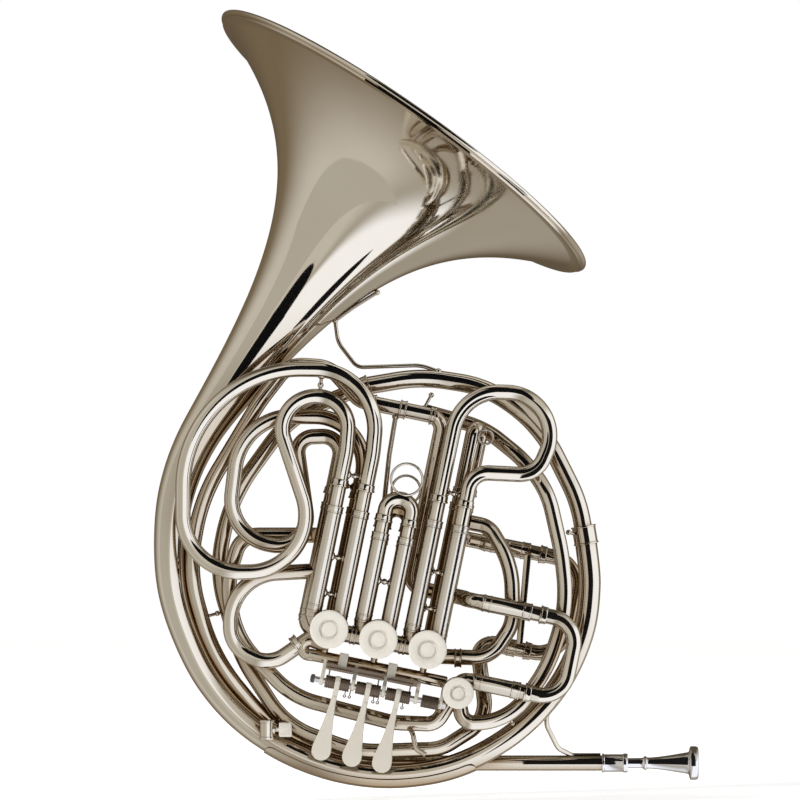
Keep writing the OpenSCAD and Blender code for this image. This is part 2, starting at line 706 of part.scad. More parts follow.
module left_crossover() color(brass) {
    tube([
        [-45.4, y_bflat, 2.1, 0], [-76, y_bflat, -19, 22], [-103, y_bflat, -6, 22], [-104, y_bflat, 44, 34],
        concat(row_point(-59.6, y_bflat, 37), 0)
    ], tube_od, tube_bore);
    ferrule([-57, y_bflat, -3.8], [-5, 0, -4], 5, tube_od / 2 - 0.3, 6.2);
}

module right_crossover() color(brass) {
    tube([
        [46.4, y_cross, -13.4, 0], [78, y_cross, -14, 22], [94, y_cross, 10, 26],
        [93, y_cross, 52, 60], concat(row_point(60, -4, 92), 14), concat(row_point(46.7, -4, 92), 0)
    ], tube_od, tube_bore);
    ferrule([55.5, y_cross, -13.8], [1, 0, 0], 5, tube_od / 2 - 0.3, 6.2);
}

module change_valve_tube() color(brass)
    tube([
        [57, y_cross, -47.3, 0], [59, y_cross, -59.5, 9], [90, y_cross, -58, 42],
        [118, y_cross + 1, -22, 100], [132, y_cross + 1, 22, 105], [128, y_cross + 1, 60, 180],
        [118, y_cross + 1, 104, 58], [100, 0, 126, 74],
        [74, 14.5, 147, 50], [34, 15, 158, 7], [34, 6.5, 158, 0]
    ], tube_od, tube_bore);

module lower_feed_tube() color(brass)
    tube([
        [49.5, y_cross, -45.2, 0], [40, y_cross, -60, 11], [10, -7, -59, 60], [-60, -3, -41, 60],
        [-100, 0, 0, 60], [-106, 0, 40, 60], [-96, 0.3, 72, 16], [-41, 0.5, 72, 6.6],
        [-41, -6.4, 72, 0]
    ], tube_od, tube_bore);

// ---- Fittings ----

module finger_hook() color(brass)
    bent([[20, -6, -60, 0], [24, -17, -66, 7], [26, -19, -77, 6], [33, -19, -81, 0]], 1.8);

lyre_place = [-78, -6, -64];
lyre_r = 3;
module lyre_socket() color(brass)
    difference() {
        union() {
            translate(lyre_place - [7, 5, 7]) cube([14, 10, 14]);
            translate(lyre_place + [-3, 3, -3]) cube([6, 8, 6]);
        }
        translate(lyre_place - [0, 0, 8]) cylinder(h = 16, r = lyre_r);
        translate(lyre_place - [0, 0.5, 0]) rotate([0, 90, 0]) cylinder(h = 9, r = 1.3);
    }

module lyre_screw() color(cream)
    translate(lyre_place - [0, 0.5, 0]) rotate([0, 90, 0]) {
        translate([0, 0, 3.6]) cylinder(h = 5.4, r = 1.35);
        translate([0, 0, 8.4]) cylinder(h = 9, r = 5);
    }

// Braces between neighbouring tubes, each a thin bar with a ball foot at both ends.
brace_r = 1.1;
brace_foot = 1.9;
module body_braces() color(brass) {
    strut([-124, 6, 14], [-113, 9, 17], brace_r, brace_foot);
    strut([-104, 1, 129], [-99, -4.4, 127], brace_r, brace_foot);
    strut([133, -2, 74], [140, 5, 72], brace_r, brace_foot);
    strut([37, 9, 170], [32, 3, 161], brace_r, brace_foot);
    strut([90, -3, -51], [94, 3, -60], brace_r, brace_foot);
    strut([85, -4, 60], [91, 17, 66], brace_r, brace_foot);
}

bell_flare();
bell_rim_wire();
bell_branch();
body_guard();
bell_ferrule();
first_branch();
bell_brace();
leadpipe();
mouthpiece_receiver();
leadpipe_brace();
mouthpiece();
valve_casing_1();
valve_casing_2();
valve_casing_3();
change_valve_casing();
valve_rotor_1();
valve_rotor_2();
valve_rotor_3();
change_valve_rotor();
valve_cap_1();
valve_cap_2();
valve_cap_3();
change_valve_cap();
bearing_plates();
stop_arm_1();
stop_arm_2();
stop_arm_3();
change_stop_arm();
finger_lever_1();
finger_lever_2();
finger_lever_3();
thumb_lever();
lever_string_1();
lever_string_2();
lever_string_3();
thumb_string();
hinge_rod();
lever_posts();
lever_springs();
lever_rail();
f_slide_sleeves();
bflat_slide_sleeves();
tuning_sleeves();
f_tuning_sleeves();
first_f_crook();
second_f_crook();
third_f_crook();
first_bflat_crook();
second_bflat_crook();
third_bflat_crook();
main_tuning_crook();
f_tuning_crook();
left_crossover();
right_crossover();
change_valve_tube();
lower_feed_tube();
finger_hook();
lyre_socket();
lyre_screw();
body_braces();
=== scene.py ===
"""French horn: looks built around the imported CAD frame. Places are in millimetres, made metres at the end."""
import json
from math import asin, atan2, ceil, cos, degrees, pi, radians, sin, sqrt, tan

import bmesh
import bpy
from mathutils import Matrix, Vector


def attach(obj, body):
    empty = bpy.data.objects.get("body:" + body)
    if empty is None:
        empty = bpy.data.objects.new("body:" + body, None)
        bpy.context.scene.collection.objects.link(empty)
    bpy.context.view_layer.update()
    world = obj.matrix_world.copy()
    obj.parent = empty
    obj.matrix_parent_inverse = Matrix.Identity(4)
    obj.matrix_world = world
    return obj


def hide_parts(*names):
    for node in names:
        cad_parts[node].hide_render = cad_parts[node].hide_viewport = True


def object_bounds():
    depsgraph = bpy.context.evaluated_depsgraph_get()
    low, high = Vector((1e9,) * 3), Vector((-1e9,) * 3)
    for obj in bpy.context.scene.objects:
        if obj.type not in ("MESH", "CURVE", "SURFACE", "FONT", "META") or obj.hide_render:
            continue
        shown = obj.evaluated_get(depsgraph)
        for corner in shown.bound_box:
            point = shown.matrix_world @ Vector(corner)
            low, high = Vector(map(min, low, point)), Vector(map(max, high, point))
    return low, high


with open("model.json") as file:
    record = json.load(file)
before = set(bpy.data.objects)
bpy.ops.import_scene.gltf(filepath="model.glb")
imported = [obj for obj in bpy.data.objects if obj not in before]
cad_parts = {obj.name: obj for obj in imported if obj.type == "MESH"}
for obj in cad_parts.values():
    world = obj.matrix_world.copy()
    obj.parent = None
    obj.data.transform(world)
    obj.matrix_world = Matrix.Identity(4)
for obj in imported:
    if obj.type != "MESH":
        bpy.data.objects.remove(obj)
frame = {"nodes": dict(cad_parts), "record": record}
cad_low, cad_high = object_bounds()

TILT = radians(11.6)
CASING_R = 12.8
PITCH = 35
Y_FRONT, Y_TUNING, Y_BFLAT, Y_CROSS, Y_BODY = -26, -20, -12, -8, 8
F_TUNING_Y = 21.7
TUBE_R, BORE_R, LEG_R, SLEEVE_R = 5.4, 4.7, 5.2, 5.8
HINGE_Y, HINGE_W = -26, -36
VALVE_BACK = -3
CHANGE_U, CHANGE_W = 62, -25.6


def row(u, y, w):
    """A place in the valve row's own frame, in the row's frame of the part."""
    return Vector((u * cos(TILT) + w * sin(TILT), y, -u * sin(TILT) + w * cos(TILT)))


ROW_U, ROW_W, BACK = row(1, 0, 0), row(0, 0, 1), Vector((0, 1, 0))
VALVES = [(-PITCH, 0), (0, 0), (PITCH, 0)]


# ---- Camera ----

def make_camera():
    data = bpy.data.cameras.new("camera")
    data.sensor_width = 36
    data.lens = 385.7
    data.clip_end = 50
    camera = bpy.data.objects.new("camera", data)
    camera.location = (0.01505, -6, 0.1666)
    camera.rotation_euler = (radians(90), 0, 0)
    bpy.context.scene.collection.objects.link(camera)
    bpy.context.scene.camera = camera


# ---- Materials ----

def node_at(tree, kind, **values):
    node = tree.nodes.new(kind)
    for key, value in values.items():
        if hasattr(node, key) and key not in node.inputs:
            setattr(node, key, value)
        else:
            node.inputs[key].default_value = value
    return node


def metal(name, light, deep, rough, spread, metallic=1.0, bump=0.0, grain=900.0, stretch=(1, 1, 1),
          painted_shade_tint=None):
    """Metal whose colour, polish and surface vary a little: light and deep colours, roughness and its spread.

    The last argument is the colour of painted shade: ambient occlusion darkens the base colour towards it where
    neighbouring tubes shelter a place.
    """
    mat = bpy.data.materials.new(name)
    mat.use_nodes = True
    tree = mat.node_tree
    shader = tree.nodes["Principled BSDF"]
    shader.inputs["Metallic"].default_value = metallic
    place = node_at(tree, "ShaderNodeTexCoord")
    scale = node_at(tree, "ShaderNodeMapping", Scale=stretch)
    tree.links.new(place.outputs["Object"], scale.inputs["Vector"])

    def noise(size, detail):
        made = node_at(tree, "ShaderNodeTexNoise", Scale=size, Detail=detail)
        tree.links.new(scale.outputs["Vector"], made.inputs["Vector"])
        return made.outputs["Fac"]

    tone = node_at(tree, "ShaderNodeValToRGB")
    tone.color_ramp.elements[0].position, tone.color_ramp.elements[1].position = 0.32, 0.68
    tone.color_ramp.elements[0].color, tone.color_ramp.elements[1].color = (*deep, 1), (*light, 1)
    tree.links.new(noise(18, 3), tone.inputs["Fac"])
    colour = tone.outputs["Color"]
    # Painted shade: ambient occlusion darkens the base colour in sheltered places, standing in for the shadow
    # that falls there.
    if painted_shade_tint:
        shelter = node_at(tree, "ShaderNodeAmbientOcclusion", samples=4, Distance=0.045)
        share = node_at(tree, "ShaderNodeMapRange")
        share.inputs["From Min"].default_value, share.inputs["From Max"].default_value = 0.92, 0.35
        tree.links.new(shelter.outputs["AO"], share.inputs["Value"])
        tint = node_at(tree, "ShaderNodeMix", data_type="RGBA", blend_type="MULTIPLY")
        tint.inputs[7].default_value = (*painted_shade_tint, 1)
        tree.links.new(share.outputs["Result"], tint.inputs["Factor"])
        tree.links.new(colour, tint.inputs[6])
        colour = tint.outputs[2]
    tree.links.new(colour, shader.inputs["Base Color"])
    polish = node_at(tree, "ShaderNodeMapRange")
    polish.inputs["From Min"].default_value, polish.inputs["From Max"].default_value = 0.35, 0.7
    polish.inputs["To Min"].default_value, polish.inputs["To Max"].default_value = rough, rough + spread
    tree.links.new(noise(55, 5), polish.inputs["Value"])
    tree.links.new(polish.outputs["Result"], shader.inputs["Roughness"])
    if bump:
        height = node_at(tree, "ShaderNodeBump", Strength=bump, Distance=0.0002)
        tree.links.new(noise(grain, 2), height.inputs["Height"])
        tree.links.new(height.outputs["Normal"], shader.inputs["Normal"])
    return mat


# Colour of the painted shade that darkens sheltered places between neighbouring tubes.
PAINTED_SHADE_TINT = (0.46, 0.35, 0.23)
NICKEL = metal("nickel_silver", (0.785, 0.735, 0.645), (0.755, 0.70, 0.605), 0.035, 0.05, painted_shade_tint=PAINTED_SHADE_TINT)
SILVER = metal("silver_plate", (0.80, 0.79, 0.80), (0.76, 0.75, 0.77), 0.05, 0.05)
SLEEVE = metal("sleeve_nickel", (0.785, 0.745, 0.67), (0.745, 0.70, 0.62), 0.13, 0.08, painted_shade_tint=PAINTED_SHADE_TINT)
SATIN = metal("satin_cap", (0.725, 0.69, 0.615), (0.695, 0.66, 0.59), 0.42, 0.10, metallic=0.18, bump=0.25)
LEVER = metal("satin_lever", (0.615, 0.575, 0.495), (0.58, 0.54, 0.465), 0.36, 0.12, metallic=0.22, bump=0.2)
ROTOR = metal("rotor_metal", (0.42, 0.36, 0.28), (0.33, 0.28, 0.22), 0.30, 0.15, bump=0.2)
SPRING = metal("spring_steel", (0.30, 0.235, 0.18), (0.20, 0.155, 0.12), 0.22, 0.15, bump=0.2)
CORK = metal("cork", (0.50, 0.36, 0.22), (0.36, 0.24, 0.14), 0.75, 0.15, metallic=0.0, bump=0.8, grain=2200)
CORD = metal("string_cord", (0.20, 0.18, 0.16), (0.11, 0.10, 0.09), 0.70, 0.2, metallic=0.0, bump=0.7,
             grain=3500)
DARK = metal("dark_tip", (0.07, 0.065, 0.06), (0.045, 0.04, 0.04), 0.30, 0.2, metallic=0.2, bump=0.2)


# ---- Shapes ----

class Shape:
    """Gathers sweeps, turned profiles and plates into one mesh."""

    def __init__(self):
        self.points, self.faces = [], []

    def rings(self, rings, closed_ends=True, loop=True):
        start, n = len(self.points), len(rings[0])
        for ring in rings:
            self.points.extend(ring)
        for k in range(len(rings) - 1):
            a, b = start + k * n, start + (k + 1) * n
            for j in range(n if loop else n - 1):
                i = (j + 1) % n
                self.faces.append((a + j, b + j, b + i, a + i))
        if closed_ends:
            last = start + (len(rings) - 1) * n
            self.faces.append(tuple(start + j for j in range(n)))
            self.faces.append(tuple(last + j for j in reversed(range(n))))

    def sweep(self, stations, sides=40):
        """A round sweep through stations of (place, direction, radius)."""
        rings, side, before = [], None, None
        for place, way, radius in stations:
            if side is None:
                side = way.orthogonal().normalized()
            else:
                side = before.rotation_difference(way) @ side
                side = (side - way * side.dot(way)).normalized()
            before = way
            up = way.cross(side)
            rings.append([place + radius * (cos(2 * pi * j / sides) * side + sin(2 * pi * j / sides) * up)
                          for j in range(sides)])
        self.rings(rings)
        return self

    def turned(self, place, way, profile, sides=72, flutes=0, depth=0.0, fluted=()):
        """A profile of (radius, distance along way), turned; flutes cut the rows listed in fluted."""
        place, way = Vector(place), Vector(way).normalized()
        side = way.orthogonal().normalized()
        up = way.cross(side)
        rings = []
        for k, (radius, along) in enumerate(profile):
            cut = depth if k in fluted else 0
            rings.append([place + way * along
                          + (radius - (cut * (0.5 - 0.5 * cos(2 * pi * j * flutes / sides)) if cut else 0))
                          * (cos(2 * pi * j / sides) * side + sin(2 * pi * j / sides) * up)
                          for j in range(sides)])
        self.rings(rings)
        return self

    def bar(self, route, radius, ends=0.0, sides=24):
        """A round bar along a route, with a ball foot of radius ends at both ends."""
        line = centre_line(route)
        self.sweep([(p, t, radius) for p, t in line], sides)
        if ends:
            for place, way in (line[0], line[-1]):
                self.ball(place, way, ends)
        return self

    def ball(self, place, way, radius, squash=1.0):
        steps = 10
        profile = [(max(radius * sin(pi * k / steps), 0.01), -radius * squash * cos(pi * k / steps))
                   for k in range(steps + 1)]
        return self.turned(place, way, profile, 28)

    def plate(self, outline, thick, edge, place, right, up):
        """A flat plate with rounded edges: outline in right/up millimetres, thickness along right x up."""
        place, right, up = Vector(place), Vector(right).normalized(), Vector(up).normalized()
        out = right.cross(up)
        steps = 4
        layers = []
        for k in range(steps + 1):
            a = k * pi / 2 / steps
            layers.append((edge * (1 - sin(a)), edge * (1 - cos(a))))
        layers += [(inset, thick - z) for inset, z in reversed(layers)]
        n = len(outline)
        normals = []
        for j in range(n):
            ax, ay = outline[j - 1]
            bx, by = outline[(j + 1) % n]
            size = sqrt((bx - ax) ** 2 + (by - ay) ** 2) or 1
            normals.append(((by - ay) / size, -(bx - ax) / size))
        rings = [[place + right * (x - nx * inset) + up * (y - ny * inset) + out * z
                  for (x, y), (nx, ny) in zip(outline, normals)] for inset, z in layers]
        self.rings(rings)
        return self

    def make(self, name, material, body="horn_body", replaces=(), slot=None):
        mesh = bpy.data.meshes.new(name)
        mesh.from_pydata([p * 0.001 for p in self.points], [], self.faces)
        mesh.validate()
        bpy.context.view_layer.update()
        obj = bpy.data.objects.new(name, mesh)
        bpy.context.scene.collection.objects.link(obj)
        bm = bmesh.new()
        bm.from_mesh(mesh)
        bmesh.ops.remove_doubles(bm, verts=bm.verts, dist=1e-7)
        bmesh.ops.recalc_face_normals(bm, faces=bm.faces)
        bm.to_mesh(mesh)
        bm.free()
        mesh.shade_smooth()
        mesh.set_sharp_from_angle(angle=radians(38))
        mesh.materials.append(material)
        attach(obj, body)
        if replaces:
            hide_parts(*replaces)
        return obj


def centre_line(route, step=1.5):
    """Places and directions along a route of corners (place, bend radius): straight runs and true arcs."""
    corners = [(Vector(c[0]), c[1]) if isinstance(c[0], (Vector, tuple, list)) else (Vector(c[:3]), c[3])
               for c in route]
    line = [(corners[0][0], (corners[1][0] - corners[0][0]).normalized())]
    for i in range(1, len(corners) - 1):
        here, radius = corners[i]
        into = (here - corners[i - 1][0]).normalized()
        out = (corners[i + 1][0] - here).normalized()
        angle = into.angle(out)
        if angle < 1e-3 or radius <= 0:
            continue
        axis = into.cross(out).normalized()
        start = here - into * radius * tan(angle / 2)
        centre = start + axis.cross(into) * radius
        count = max(3, ceil(angle * radius / step), ceil(angle / radians(5)))
        for k in range(count + 1):
            turn = Matrix.Rotation(angle * k / count, 3, axis)
            line.append((centre + turn @ (start - centre), turn @ into))
    line.append((corners[-1][0], (corners[-1][0] - corners[-2][0]).normalized()))
    return line


def pipe_stations(line, outer, bore, depth=7):
    """Stations of a pipe whose two mouths are open a little way in."""
    (p0, t0), (p1, t1) = line[0], line[-1]
    head = [(p0 + t0 * depth, t0, 0.01), (p0 + t0 * depth, t0, bore), (p0, t0, bore),
            (p0, t0, outer - 0.15), (p0 + t0 * 0.15, t0, outer)]
    tail = [(p1 - t1 * 0.15, t1, outer), (p1, t1, outer - 0.15), (p1, t1, bore),
            (p1 - t1 * depth, t1, bore), (p1 - t1 * depth, t1, 0.01)]
    return head + [(p, t, outer) for p, t in line[1:-1]] + tail


def pipe(shape, route, outer=TUBE_R, bore=BORE_R, sides=44):
    return shape.sweep(pipe_stations(centre_line(route), outer, bore), sides)


def band(shape, place, way, length, inner, radius, bead=0.5, width=1.2):
    """A ferrule centred on a place: a band with a rounded bead at each end."""
    h = length / 2
    end = [(inner, 0), (radius + bead * 0.3, 0), (radius + bead * 0.8, 0.15), (radius + bead, width * 0.35),
           (radius + bead, width * 0.65), (radius + bead * 0.75, width * 0.9), (radius + bead * 0.2, width),
           (radius, width + 0.1)]
    profile = [(r, z - h) for r, z in end] + [(r, h - z) for r, z in reversed(end)]
    return shape.turned(place, way, profile, 64)


def rect(left, low, right, high):
    return [(left, low), (right, low), (right, high), (left, high)]


def circle(x, y, r, a0, a1, count):
    return [(x + r * cos(radians(a0 + (a1 - a0) * k / count)),
             y + r * sin(radians(a0 + (a1 - a0) * k / count)))
            for k in range(count + 1)]


def softened(profile, rounds=2):
    """Cuts a profile's corners, keeping its ends."""
    for _ in range(rounds):
        cut = [profile[0]]
        for (ax, ay), (bx, by) in zip(profile, profile[1:]):
            cut += [(ax * 0.75 + bx * 0.25, ay * 0.75 + by * 0.25),
                    (ax * 0.25 + bx * 0.75, ay * 0.25 + by * 0.75)]
        profile = cut + [profile[-1]]
    return profile


def smooth_curve(points, t):
    """The place at t, counted in points, on a smooth curve through them."""
    n = len(points) - 1
    i = min(int(t), n - 1)
    f = t - i
    p0, p1, p2, p3 = points[max(i - 1, 0)], points[i], points[i + 1], points[min(i + 2, n)]
    return 0.5 * (2 * p1 + (p2 - p0) * f + (2 * p0 - 5 * p1 + 4 * p2 - p3) * f * f
                  + (3 * p1 - p0 - 3 * p2 + p3) * f ** 3)


# ---- Bell, bell branch and guard ----

BELL_R, BELL_LEN, SHEET = 155.7, 231, 0.6
BELL_DIR = Vector((cos(radians(55)) * cos(radians(7.5)), sin(radians(7.5)),
                   sin(radians(55)) * cos(radians(7.5))))
BELL_TAIL = Vector((-114, Y_BODY, 161))
BELL_MOUTH = BELL_TAIL + BELL_DIR * BELL_LEN
BRANCH = [Vector(p) for p in (
    (-112, 8.3, 164), (-130, 8, 134), (-142, 8, 100), (-146, 8, 65), (-144, 8, 32), (-134, 8, -1),
    (-118, 8, -32), (-94, 8, -59), (-62, 8, -80), (-24, 8, -93), (16, 8, -96), (57, 8, -88), (96, 8, -66),
    (126, 8, -34), (143, 8, 2), (148, 8, 36), (145.5, 8, 66))]
BRANCH_RINGS = 400


def flare(z):
    return BELL_R * (130 / (130 + z)) ** 2.24


def branch_radius(share):
    return 7.7 + (15.9 - 7.7) * (1 - share) ** 3.8


def bell_stations():
    """(place, radius) from the mouth to the branch's small end."""
    rim = 3.2
    places = [(BELL_MOUTH - BELL_DIR * (BELL_LEN * (k / 130) ** 1.5), flare(BELL_LEN * (k / 130) ** 1.5))
              for k in range(131)]
    places = [s for s in places if rim < (s[0] - BELL_MOUTH).length < BELL_LEN - 12]
    n = len(BRANCH) - 1
    for k in range(6, BRANCH_RINGS + 1):
        places.append((smooth_curve(BRANCH, n * k / BRANCH_RINGS), branch_radius(k / BRANCH_RINGS)))
    return places


def smoothed(places, around, rounds):
    """Evens out the places and radii near one index, so that the bell runs into its branch with no crease."""
    places = list(places)
    for _ in range(rounds):
        for i in range(around - 26, around + 26):
            (a, ra), (b, rb), (c, rc) = places[i - 1], places[i], places[i + 1]
            places[i] = (b * 0.5 + (a + c) * 0.25, rb * 0.5 + (ra + rc) * 0.25)
    return places


def with_ways(places):
    out = []
    for i, (p, r) in enumerate(places):
        a, b = places[max(i - 1, 0)][0], places[min(i + 1, len(places) - 1)][0]
        out.append((p, (b - a).normalized(), r))
    return out


def bell():
    places = bell_stations()
    join = next(i for i, s in enumerate(places) if (s[0] - BELL_MOUTH).length > BELL_LEN - 13)
    places = smoothed(places, join, 40)
    outer = with_ways(places)
    way = -BELL_DIR
    rim_r, wire = BELL_R - 1.6, 1.6
    rim = [(BELL_MOUTH + way * (wire * sin(a)), way, rim_r + wire * cos(a))
           for a in [radians(-180 + 20 * k) for k in range(14)]]
    inner = [(p, t, r - SHEET * sqrt(1 + (2.24 * r / (130 + 30)) ** 2)) for p, t, r in outer[:330]]
    inner[0] = (inner[0][0], inner[0][1], rim_r - wire * 0.9)
    stations = list(reversed(inner)) + rim + outer
    shape = Shape()
    shape.sweep([(stations[0][0], stations[0][1], 0.01)] + stations
                + [(outer[-1][0], outer[-1][1], 0.01)], 160)
    shape.make("bell_and_branch", NICKEL, replaces=("bell_flare", "bell_rim_wire", "bell_branch"),
               slot="nickel_silver")


def guard():
    """The strip of sheet that shields the branch where the hand and leg touch it."""
    rings, n = [], 150
    for k in range(n + 1):
        t = 7.6 + 3.6 * k / n
        here = smooth_curve(BRANCH, t)
        way = (smooth_curve(BRANCH, t + 0.02) - smooth_curve(BRANCH, t - 0.02)).normalized()
        side = way.cross(Vector((0, 1, 0))).normalized()
        up = side.cross(way)
        edge = min(k, n - k) / n
        reach = 1 if edge > 0.04 else sqrt(max(0.0, 1 - (1 - edge / 0.04) ** 2)) * 0.35 + 0.65
        lo, hi = 180 - 70 * reach, 180 + 70 * reach
        outside = circle(0, 0, 9.4, lo, hi, 24)
        inside = circle(0, 0, 8.7, hi, lo, 24)
        rings.append([here + side * x + up * y for x, y in outside + inside])
    shape = Shape()
    shape.rings(rings)
    shape.make("guard_strip", NICKEL, replaces=("body_guard",), slot="nickel_silver")


# ---- Fixed tubes ----

def first_branch():
    shape = Shape()
    pipe(shape, [(145.3, 8, 67, 0), (140, 10, 96, 95), (113, 12, 150, 98), (75, 13.5, 176, 80),
                 (30, 14, 183, 110),
                 (-9, 14, 176.4, 0)], 6.3, 5.6)
    band(shape, (-10, 14, 176), (-5, 0, -2), 8, 5, 7)
    end = row(68, F_TUNING_Y, 11.5)
    pipe(shape, [(-11, 14, 175.6, 0), (-62, 13, 155, 80), (-104, 11, 97, 120), (-114, 11.5, 45, 90),
                 (-96, 10.5, -14, 100), (-65, 9, -62, 60), (-14, 7, -80, 80), (44, 7, -78, 30),
                 (76, 11, -58, 24),
                 (end, 9), (row(81.8, F_TUNING_Y, 11.5), 0)])
    shape.make("first_branch_tube", NICKEL, replaces=("first_branch",), slot="nickel_silver")
    ring = Shape()
    band(ring, (144.6, Y_BODY, 72), (-1, 0, 6), 13, 6.4, 8.3)
    ring.make("bell_ferrule_ring", NICKEL, replaces=("bell_ferrule",), slot="nickel_silver")


def leadpipe():
    shape = Shape()
    pipe(shape, [(165, 23, -88.5, 0), (-12, 23, -88.5, 120), (-73, 17, -66, 110), (-116, 8, -14, 130),
                 (-133, 5, 46, 105), (-124, 4, 98, 125), (-83.5, 0.5, 165, 120), (-63, 0.5, 191.5, 20),
                 (-34, 0.5, 189.5, 22), (-13, 0.5, 166, 14), (45.6, 0.5, 154, 10),
                 (row(13.7, 13.5, 39.3), 10),
                 (row(54, 13.5, 39.3), 9), (row(54, Y_TUNING, 39.3), 9), (row(66, Y_TUNING, 39.3), 0)])
    shape.make("leadpipe_tube", NICKEL, replaces=("leadpipe",), slot="nickel_silver")
    shape = Shape()
    shape.bar([(118, 10, -52, 0), (118, 13, -62, 10), (126, 18, -78, 10), (136, 23, -83.2, 8),
               (156, 23, -83.2, 0)], 1.7)
    shape.ball(Vector((118, 10, -52)), Vector((0, 0, 1)), 3)
    shape.make("leadpipe_stay", NICKEL, replaces=("leadpipe_brace",), slot="nickel_silver")
    shape = Shape()
    shape.turned((157, 23, -88.5), (1, 0, 0), [(5.4, 0), (6.4, 0), (6.7, 0.3), (6.7, 1.2), (6.4, 1.5),
                                               (6.2, 1.7),
                 (6.2, 14.6), (6.4, 14.9), (6.7, 15.2), (6.7, 17.6), (6.4, 18), (3.6, 18), (3.6, 10)])
    shape.make("receiver_sleeve", SILVER, replaces=("mouthpiece_receiver",), slot="silver_plate")


def mouthpiece():
    profile = [(2.2, 0), (3.45, 0), (3.5, 15), (3.7, 19), (4.9, 19.6), (4.9, 21), (3.9, 21.6), (4, 25),
               (4.6, 31),
               (5.6, 38), (6.8, 45), (7.6, 50), (8, 51), (11.4, 51.6), (11.9, 52.6), (11.9, 56), (11.2, 57.4),
               (10, 57.8), (9, 57.2), (8.6, 56), (7.2, 52), (6, 47), (4.8, 41), (3.2, 34), (2.2, 28),
               (2.2, 27.9)]
    shape = Shape()
    shape.turned((167, 23, -88.5), (1, 0, 0), softened(profile, 2), 96)
    shape.make("mouthpiece_cup", SILVER, "mouthpiece", replaces=("mouthpiece",), slot="silver_plate")


def fixed_tubes():
    shape = Shape()
    pipe(shape, [(-45.4, Y_BFLAT, 2.1, 0), (-76, Y_BFLAT, -19, 22), (-103, Y_BFLAT, -6, 22),
                 (-104, Y_BFLAT, 44, 34),
                 (row(-54, Y_BFLAT, 37), 0)])
    band(shape, (-57, Y_BFLAT, -3.8), (-5, 0, -4), 5, 5.1, 6.2)
    shape.make("left_crossover_tube", NICKEL, replaces=("left_crossover",), slot="nickel_silver")
    shape = Shape()
    pipe(shape, [(41, Y_CROSS, -12.5, 0), (78, Y_CROSS, -14, 22), (94, Y_CROSS, 10, 26),
                 (93, Y_CROSS, 52, 60),
                 (row(60, -4, 92), 14), (row(46.7, -4, 92), 0)])
    band(shape, (55.5, Y_CROSS, -13.8), (1, 0, 0), 5, 5.1, 6.2)
    shape.make("right_crossover_tube", NICKEL, replaces=("right_crossover",), slot="nickel_silver")
    shape = Shape()
    pipe(shape, [(57, Y_CROSS, -47.3, 0), (59, Y_CROSS, -59.5, 9), (90, Y_CROSS, -58, 42),
                 (118, Y_CROSS + 1, -22, 100),
                 (132, Y_CROSS + 1, 22, 105), (128, Y_CROSS + 1, 60, 180), (118, Y_CROSS + 1, 104, 58),
                 (100, 0, 126, 74),
                 (74, 14.5, 147, 50), (34, 15, 158, 7), (34, 6.5, 158, 0)])
    shape.make("change_valve_pipe", NICKEL, replaces=("change_valve_tube",), slot="nickel_silver")
    shape = Shape()
    pipe(shape, [(49.5, Y_CROSS, -45.2, 0), (40, Y_CROSS, -60, 11), (10, -7, -59, 60), (-60, -3, -41, 60),
                 (-100, 0, 0, 60), (-106, 0, 40, 60), (-96, 0.3, 72, 16), (-41, 0.5, 72, 6.6),
                 (-41, -6.4, 72, 0)])
    shape.make("lower_feed_pipe", NICKEL, replaces=("lower_feed_tube",), slot="nickel_silver")


def braces():
    shape = Shape()
    route = [(-1, 25, 242.2, 0), (-17, 23, 232.2, 40), (-30.5, 21, 222.4, 4), (-28.5, 20, 207, 18),
             (-15, 17, 189.5, 9), (30, 14, 191, 30), (42, 13, 186.5, 0)]
    shape.bar(route, 1.4)
    shape.ball(Vector((-1, 25, 242.2)), Vector((0, 1, 0)), 2)
    shape.ball(Vector((42, 13, 186.5)), Vector((0, 1, 0)), 2.4)
    shape.ball(Vector((-30.5, 21, 222)), Vector((0, 1, 0)), 2)
    shape.make("bell_stay", NICKEL, replaces=("bell_brace",), slot="nickel_silver")
    shape = Shape()
    for a, b in [((-124, 6, 14), (-113, 9, 17)), ((-104, 1, 129), (-99, -4.4, 127)),
                 ((133, -2, 74), (140, 5, 72)),
                 ((37, 9, 170), (32, 3, 161)), ((90, -3, -51), (94, 3, -60)), ((85, -4, 60), (91, 17, 66))]:
        shape.bar([(*a, 0), (*b, 0)], 1.1, 1.9)
    shape.make("body_stays", NICKEL, replaces=("body_braces",), slot="nickel_silver")
    shape = Shape()
    way = Vector((45.6 + 13, 0, 154 - 166)).normalized()
    for x in (-4, 17, 38):
        band(shape, Vector((x, 0.5, 166 - (x + 13) * 12 / 58.6)), way, 5 if x == 17 else 4, 5.2, 6.2)
    shape.bar([(12, 1, 155, 0), (7.5, 0, 128, 20), (3, -3.6, 86, 0)], 1.7, 2.6)
    shape.plate([(96.5, -4), (101, -4), (107, 58), (102, 58)], 2, 0.5, (0, 3.2, 0), (1, 0, 0), (0, 0, 1))
    shape.make("back_bars", NICKEL, slot="nickel_silver")


# ---- Valves ----

def casing_profile(front, r, inner):
    high = VALVE_BACK - front
    end = [(inner, 0), (r + 0.2, 0), (r + 0.45, 0.2), (r + 0.5, 0.6), (r + 0.5, 1.6), (r + 0.35, 2.0),
           (r, 2.2)]
    return [(a, z + front) for a, z in end] + [(a, front + high - z) for a, z in reversed(end)]


def cap_profile(front, r):
    """A screw cap's face: a raised button in a ring-shaped recess, and a slightly crowned rim."""
    f = front
    return [(0.01, f - 3.8), (r * 0.36, f - 3.8), (r * 0.38, f - 3.7), (r * 0.385, f - 3.1),
            (r * 0.515, f - 3.1),
            (r * 0.52, f - 4.85), (r * 0.535, f - 5), (r * 0.9, f - 5), (r - 0.5, f - 4.85),
            (r - 0.15, f - 4.5),
            (r, f - 4.1), (r, f - 0.5), (r - 0.3, f - 0.2), (r - 3, f - 0.2)]


